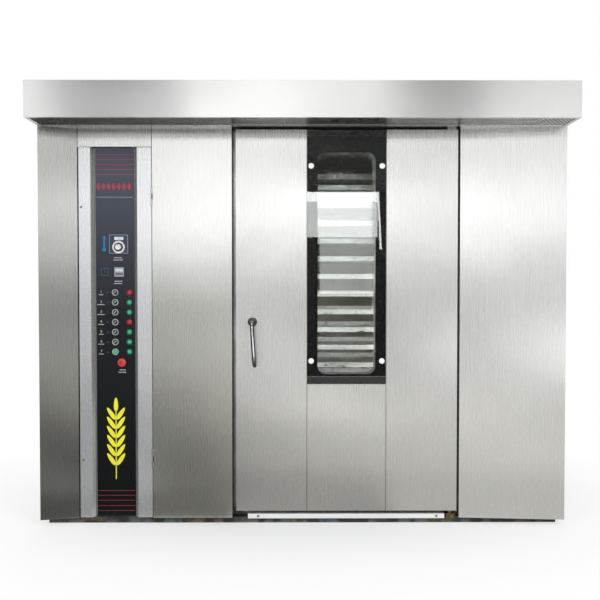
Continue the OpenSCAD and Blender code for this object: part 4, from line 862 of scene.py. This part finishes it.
# ---- Baking door: window and button screws ---------------------------------------------
# Tempered 6 mm glass stands off the door on four aluminium button screws. Its heat-mirror
# coating reflects about twice as much as plain glass. A black enamelled mask behind it
# frames the window, so the glass reads as one dark gloss sheet.
wear(finish("tempered_glass", "#fbfdfc", "#f6faf8", 200, (0.0, 0.012), IOR=1.8,
            Transmission_Weight=1.0), "window_glass")
wear(finish("black_enamelled_sheet", "#060607", "#0b0b0c", 8, (0.2, 0.3), 0.02,
            Specular_IOR_Level=0.2), "window_mask")
BUTTON_X = (218.5 - 176.5, 218.5 + 176.5)
BUTTON_Z = (817, 1787)
button_metal = finish("satin_anodised_aluminium", "#fbfbf9", "#f0f0ed", 1.5, (0.3, 0.42), 0.02,
                      metallic=0.35)
dark_chrome = finish("aged_chrome", "#525254", "#3c3c3e", 3, (0.08, 0.18), metallic=1.0)
button_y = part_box("window_glass")[0].y
fitting_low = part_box("door_fittings")[0]
buttons = turned("button_screws", [(x * MM, button_y, z * MM) for x in BUTTON_X for z in BUTTON_Z],
                 [(13.4, 0.2), (14.0, 0.8), (14.0, 3.2), (12.8, 4.6), (9.0, 5.4), (3.2, 5.7),
                  (3.0, 4.4), (0.5, 4.4)], button_metal, "door", steps=48)
HANDLE_X, HANDLE_Z = -250, 1012
rosette = turned("handle_rosette", [(HANDLE_X * MM, fitting_low.y + 0.010, HANDLE_Z * MM)],
                 [(9.6, 0.2), (23.0, 0.2), (23.0, 5.4), (21.4, 7.8), (16.0, 9.4), (9.6, 10.0)],
                 dark_chrome, "door", closed=True, steps=64)
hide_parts("door_fittings")

# The inner side of the door: stainless lining, bronzed by the heat, and a silicone gasket
wear(finish("heat_tinted_stainless_lining", "#a09a8f", "#796f61", (240, 240, 180), (0.25, 0.42),
            0.2, metallic=1.0), "door_lining")
wear(finish("grey_silicone_gasket", "#3c3b39", "#4a4846", 6, (0.55, 0.7), 0.1), "door_gasket")


# ---- Door handle and latch -------------------------------------------------------------
# Bright steel rod, bent cold and chromed, on a square spindle. The latch cam on its inner end
# is a zinc-plated casting.
chrome = finish("chromed_bent_rod", "#e2e3e6", "#d6d7da", 5, (0.04, 0.1), metallic=1.0)
tree = chrome.node_tree
# its front is left bright, while its flanks and its lower end are painted dark: painted reflection
# of dark surroundings
outward = add(tree, "ShaderNodeTexCoord").outputs["Normal"]
across = add(tree, "ShaderNodeSeparateXYZ", [("Vector", outward)]).outputs["X"]
flank = add(tree, "ShaderNodeMath", [(0, across)], operation="ABSOLUTE")
sides = add(tree, "ShaderNodeMapRange", [(0, flank.outputs[0]), (1, 0.25), (2, 0.6)])
painted_dark_reflection = add(tree, "ShaderNodeMath", [(0, sides.outputs[0]),
                                    (1, between(tree, "Z", 0.80, 0.86, 1.0, 0.0))],
           operation="MAXIMUM")
cover(tree, painted_dark_reflection.outputs[0], "#3c3d40")
wear(chrome, "handle_lever")
wear(finish("zinc_plated_steel", "#aeb0ae", "#8e908d", 7, (0.32, 0.5), 0.05, metallic=1.0),
     "latch_cam", "castor_fork_1", "castor_fork_2")


# ---- Sill and door hinge ---------------------------------------------------------------
# An aluminium tread strip with two countersunk screws closes the floor at the doorway. The
# door's lower bearing is brass, browned by steam; the upper one and the latch keeper are
# zinc-plated steel, told apart by their height.
wear(finish("matt_anodised_tread", "#f2f2f1", "#e4e4e3", (160, 4, 4), (0.4, 0.5), 0.03,
            metallic=0.15), "door_sill")
sill_low, sill_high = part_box("door_sill")
sill_z = 0.5 * (sill_low.z + sill_high.z)
cross_screws("sill_screws", [(-0.2235, sill_low.y, sill_z), (0.672, sill_low.y, sill_z)], 7.0,
             "oven", dome=1.2)
brass = finish("browned_brass_and_steel", "#8f7a4e", "#3a352c", 7, (0.22, 0.42), 0.05, metallic=1.0)
tree = brass.node_tree
BRASS_TOP = 0.15
cover(tree, between(tree, "Z", BRASS_TOP, BRASS_TOP + EDGE), "#8f918f")
wear(brass, "door_hardware")


# ---- Tray rack -------------------------------------------------------------------------
# Welded stainless tube and angle, bronzed by hundreds of bakes, hung from a forged hook. The
# trays are aluminised steel with rolled rims; the castors are heat-proof phenolic on zinc.
wear(finish("baked_stainless_tube", "#bfbdb8", "#8f8c86", (50, 50, 90), (0.25, 0.45), 0.05,
            metallic=1.0), "rack_sides", "rack_top", "rack_base")
tray_metal = finish("aluminised_baking_tray", "#f0f0ef", "#c9c9c8", (70, 70, 12), (0.26, 0.44), 0.1,
                    metallic=1.0)
CRUST_MM = 45.5
tree = tray_metal.node_tree
cover(tree, blotches(tree, CRUST_MM, 0.58, 0.70, 8.0, most=0.55), "#59554f")
wear(tray_metal, "trays")
wear(finish("forged_hook_steel", "#6f6a64", "#4f4a45", 14, (0.35, 0.55), 0.3, metallic=1.0),
     "rack_hook")
wear(finish("phenolic_castor_wheel", "#5a2f22", "#472419", 3, (0.5, 0.68), 0.15),
     *["castor_wheel_%d" % i for i in range(1, 5)])


# ---- Baking chamber --------------------------------------------------------------------
# Stainless sheet with a bronze tint where the hot air leaves the duct plates, a tread-worn
# floor, and a keeper and hinge plates round the doorway. Two lamps behind glass light it.
tinted_steel = finish("heat_tinted_chamber_sheet", "#99968f", "#73706a", (320, 320, 420),
                      (0.26, 0.42), 0.4, metallic=1.0)
HALO_MM = 625
tree = tinted_steel.node_tree
cover(tree, blotches(tree, HALO_MM, 0.55, 0.72, 5.0, most=0.35), "#4f4c4c")
wear(tinted_steel, "chamber_lining", "duct_plates")
wear(finish("stainless_surround_sheet", "#c9c9c7", "#adadaa", (160, 160, 260), (0.26, 0.40), 0.2,
            metallic=1.0), "door_surround")
wear(finish("scuffed_floor_plate", "#8f8b84", "#65605a", (60, 25, 60), (0.3, 0.55), 0.2,
            metallic=1.0), "chamber_floor")
for side, x in (("left", -0.27), ("right", 0.70)):
    softbox("chamber_lamp_" + side, (x, -0.41, 0.91), (0.22, -0.12, 0.93), (0.05, 0.78), 23)


# ---- Insulation, heat and steam --------------------------------------------------------
# Stone-wool slabs fill the walls. The exchanger is heat-resisting steel that has scaled
# brown, the burner a red enamelled unit, the steam generator a rusty stack of cast iron.
wear(finish("stone_wool_slab", "#a3935f", "#7f7148", (22, 22, 5), (0.9, 1.0), 1.5,
            Sheen_Weight=0.2), "insulation_slabs")
wear(finish("scaled_heat_resisting_steel", "#7a5a48", "#4b3c36", (35, 35, 60), (0.45, 0.75), 0.4,
            metallic=0.6), "heat_exchanger")
wear(finish("red_enamelled_casting", "#9e2620", "#8a1f1b", 6, (0.25, 0.4), 0.06, Coat_Weight=0.3),
     "burner")
wear(finish("rusty_cast_iron", "#5a4a40", "#6f4a33", 9, (0.7, 0.9), 0.5, metallic=0.3),
     "steam_generator")
wear(finish("seamed_flue_tube", "#b5b3ae", "#8d8a84", (40, 40, 160), (0.3, 0.48), 0.1,
            metallic=1.0), "flue_pipe")


# ---- Fan and rack drives ---------------------------------------------------------------
# Cast motors in blue-grey machine enamel with dust on top, a ground steel shaft, a rubber
# V belt and turned cast pulleys.
wear(finish("blue_grey_machine_enamel", "#4a5a6b", "#56616b", 25, (0.35, 0.55), 0.15,
            Coat_Weight=0.15), "fan_motor", "rack_gearmotor")
wear(finish("v_belt_rubber", "#1b1b1a", "#2b2a28", 5, (0.6, 0.8), 0.2), "fan_belt")
wear(finish("welded_impeller_steel", "#8e8a84", "#665f58", 25, (0.35, 0.55), 0.2, metallic=0.9),
     "fan_rotor", "motor_pulley")


# ---- Electrical plate ------------------------------------------------------------------
# Galvanised mounting plate behind the control door, with contactors and terminals of dark
# and light grey moulding. The plate lies behind the devices, so depth tells them apart.
PLATE_MM, PLASTIC_GRAIN_MM = 6, 2
plate = finish("galvanised_plate_and_devices", "#a9acab", "#8a8e8f", 16, (0.4, 0.55), 0.05)
tree = plate.node_tree
moulded = add(tree, "ShaderNodeTexNoise", [("Vector", place_in(tree)),
                                           ("Scale", 1000 / PLASTIC_GRAIN_MM)])
grey = add(tree, "ShaderNodeMix", [(0, moulded.outputs[0]), (6, "#2b2e31"), (7, "#3c4044")],
           data_type="RGBA")
plate_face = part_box("electrical_plate")[1].y - PLATE_MM * MM
cover(tree, between(tree, "Y", plate_face - EDGE, plate_face, 1.0, 0.0), grey.outputs[2])
wear(plate, "electrical_plate")
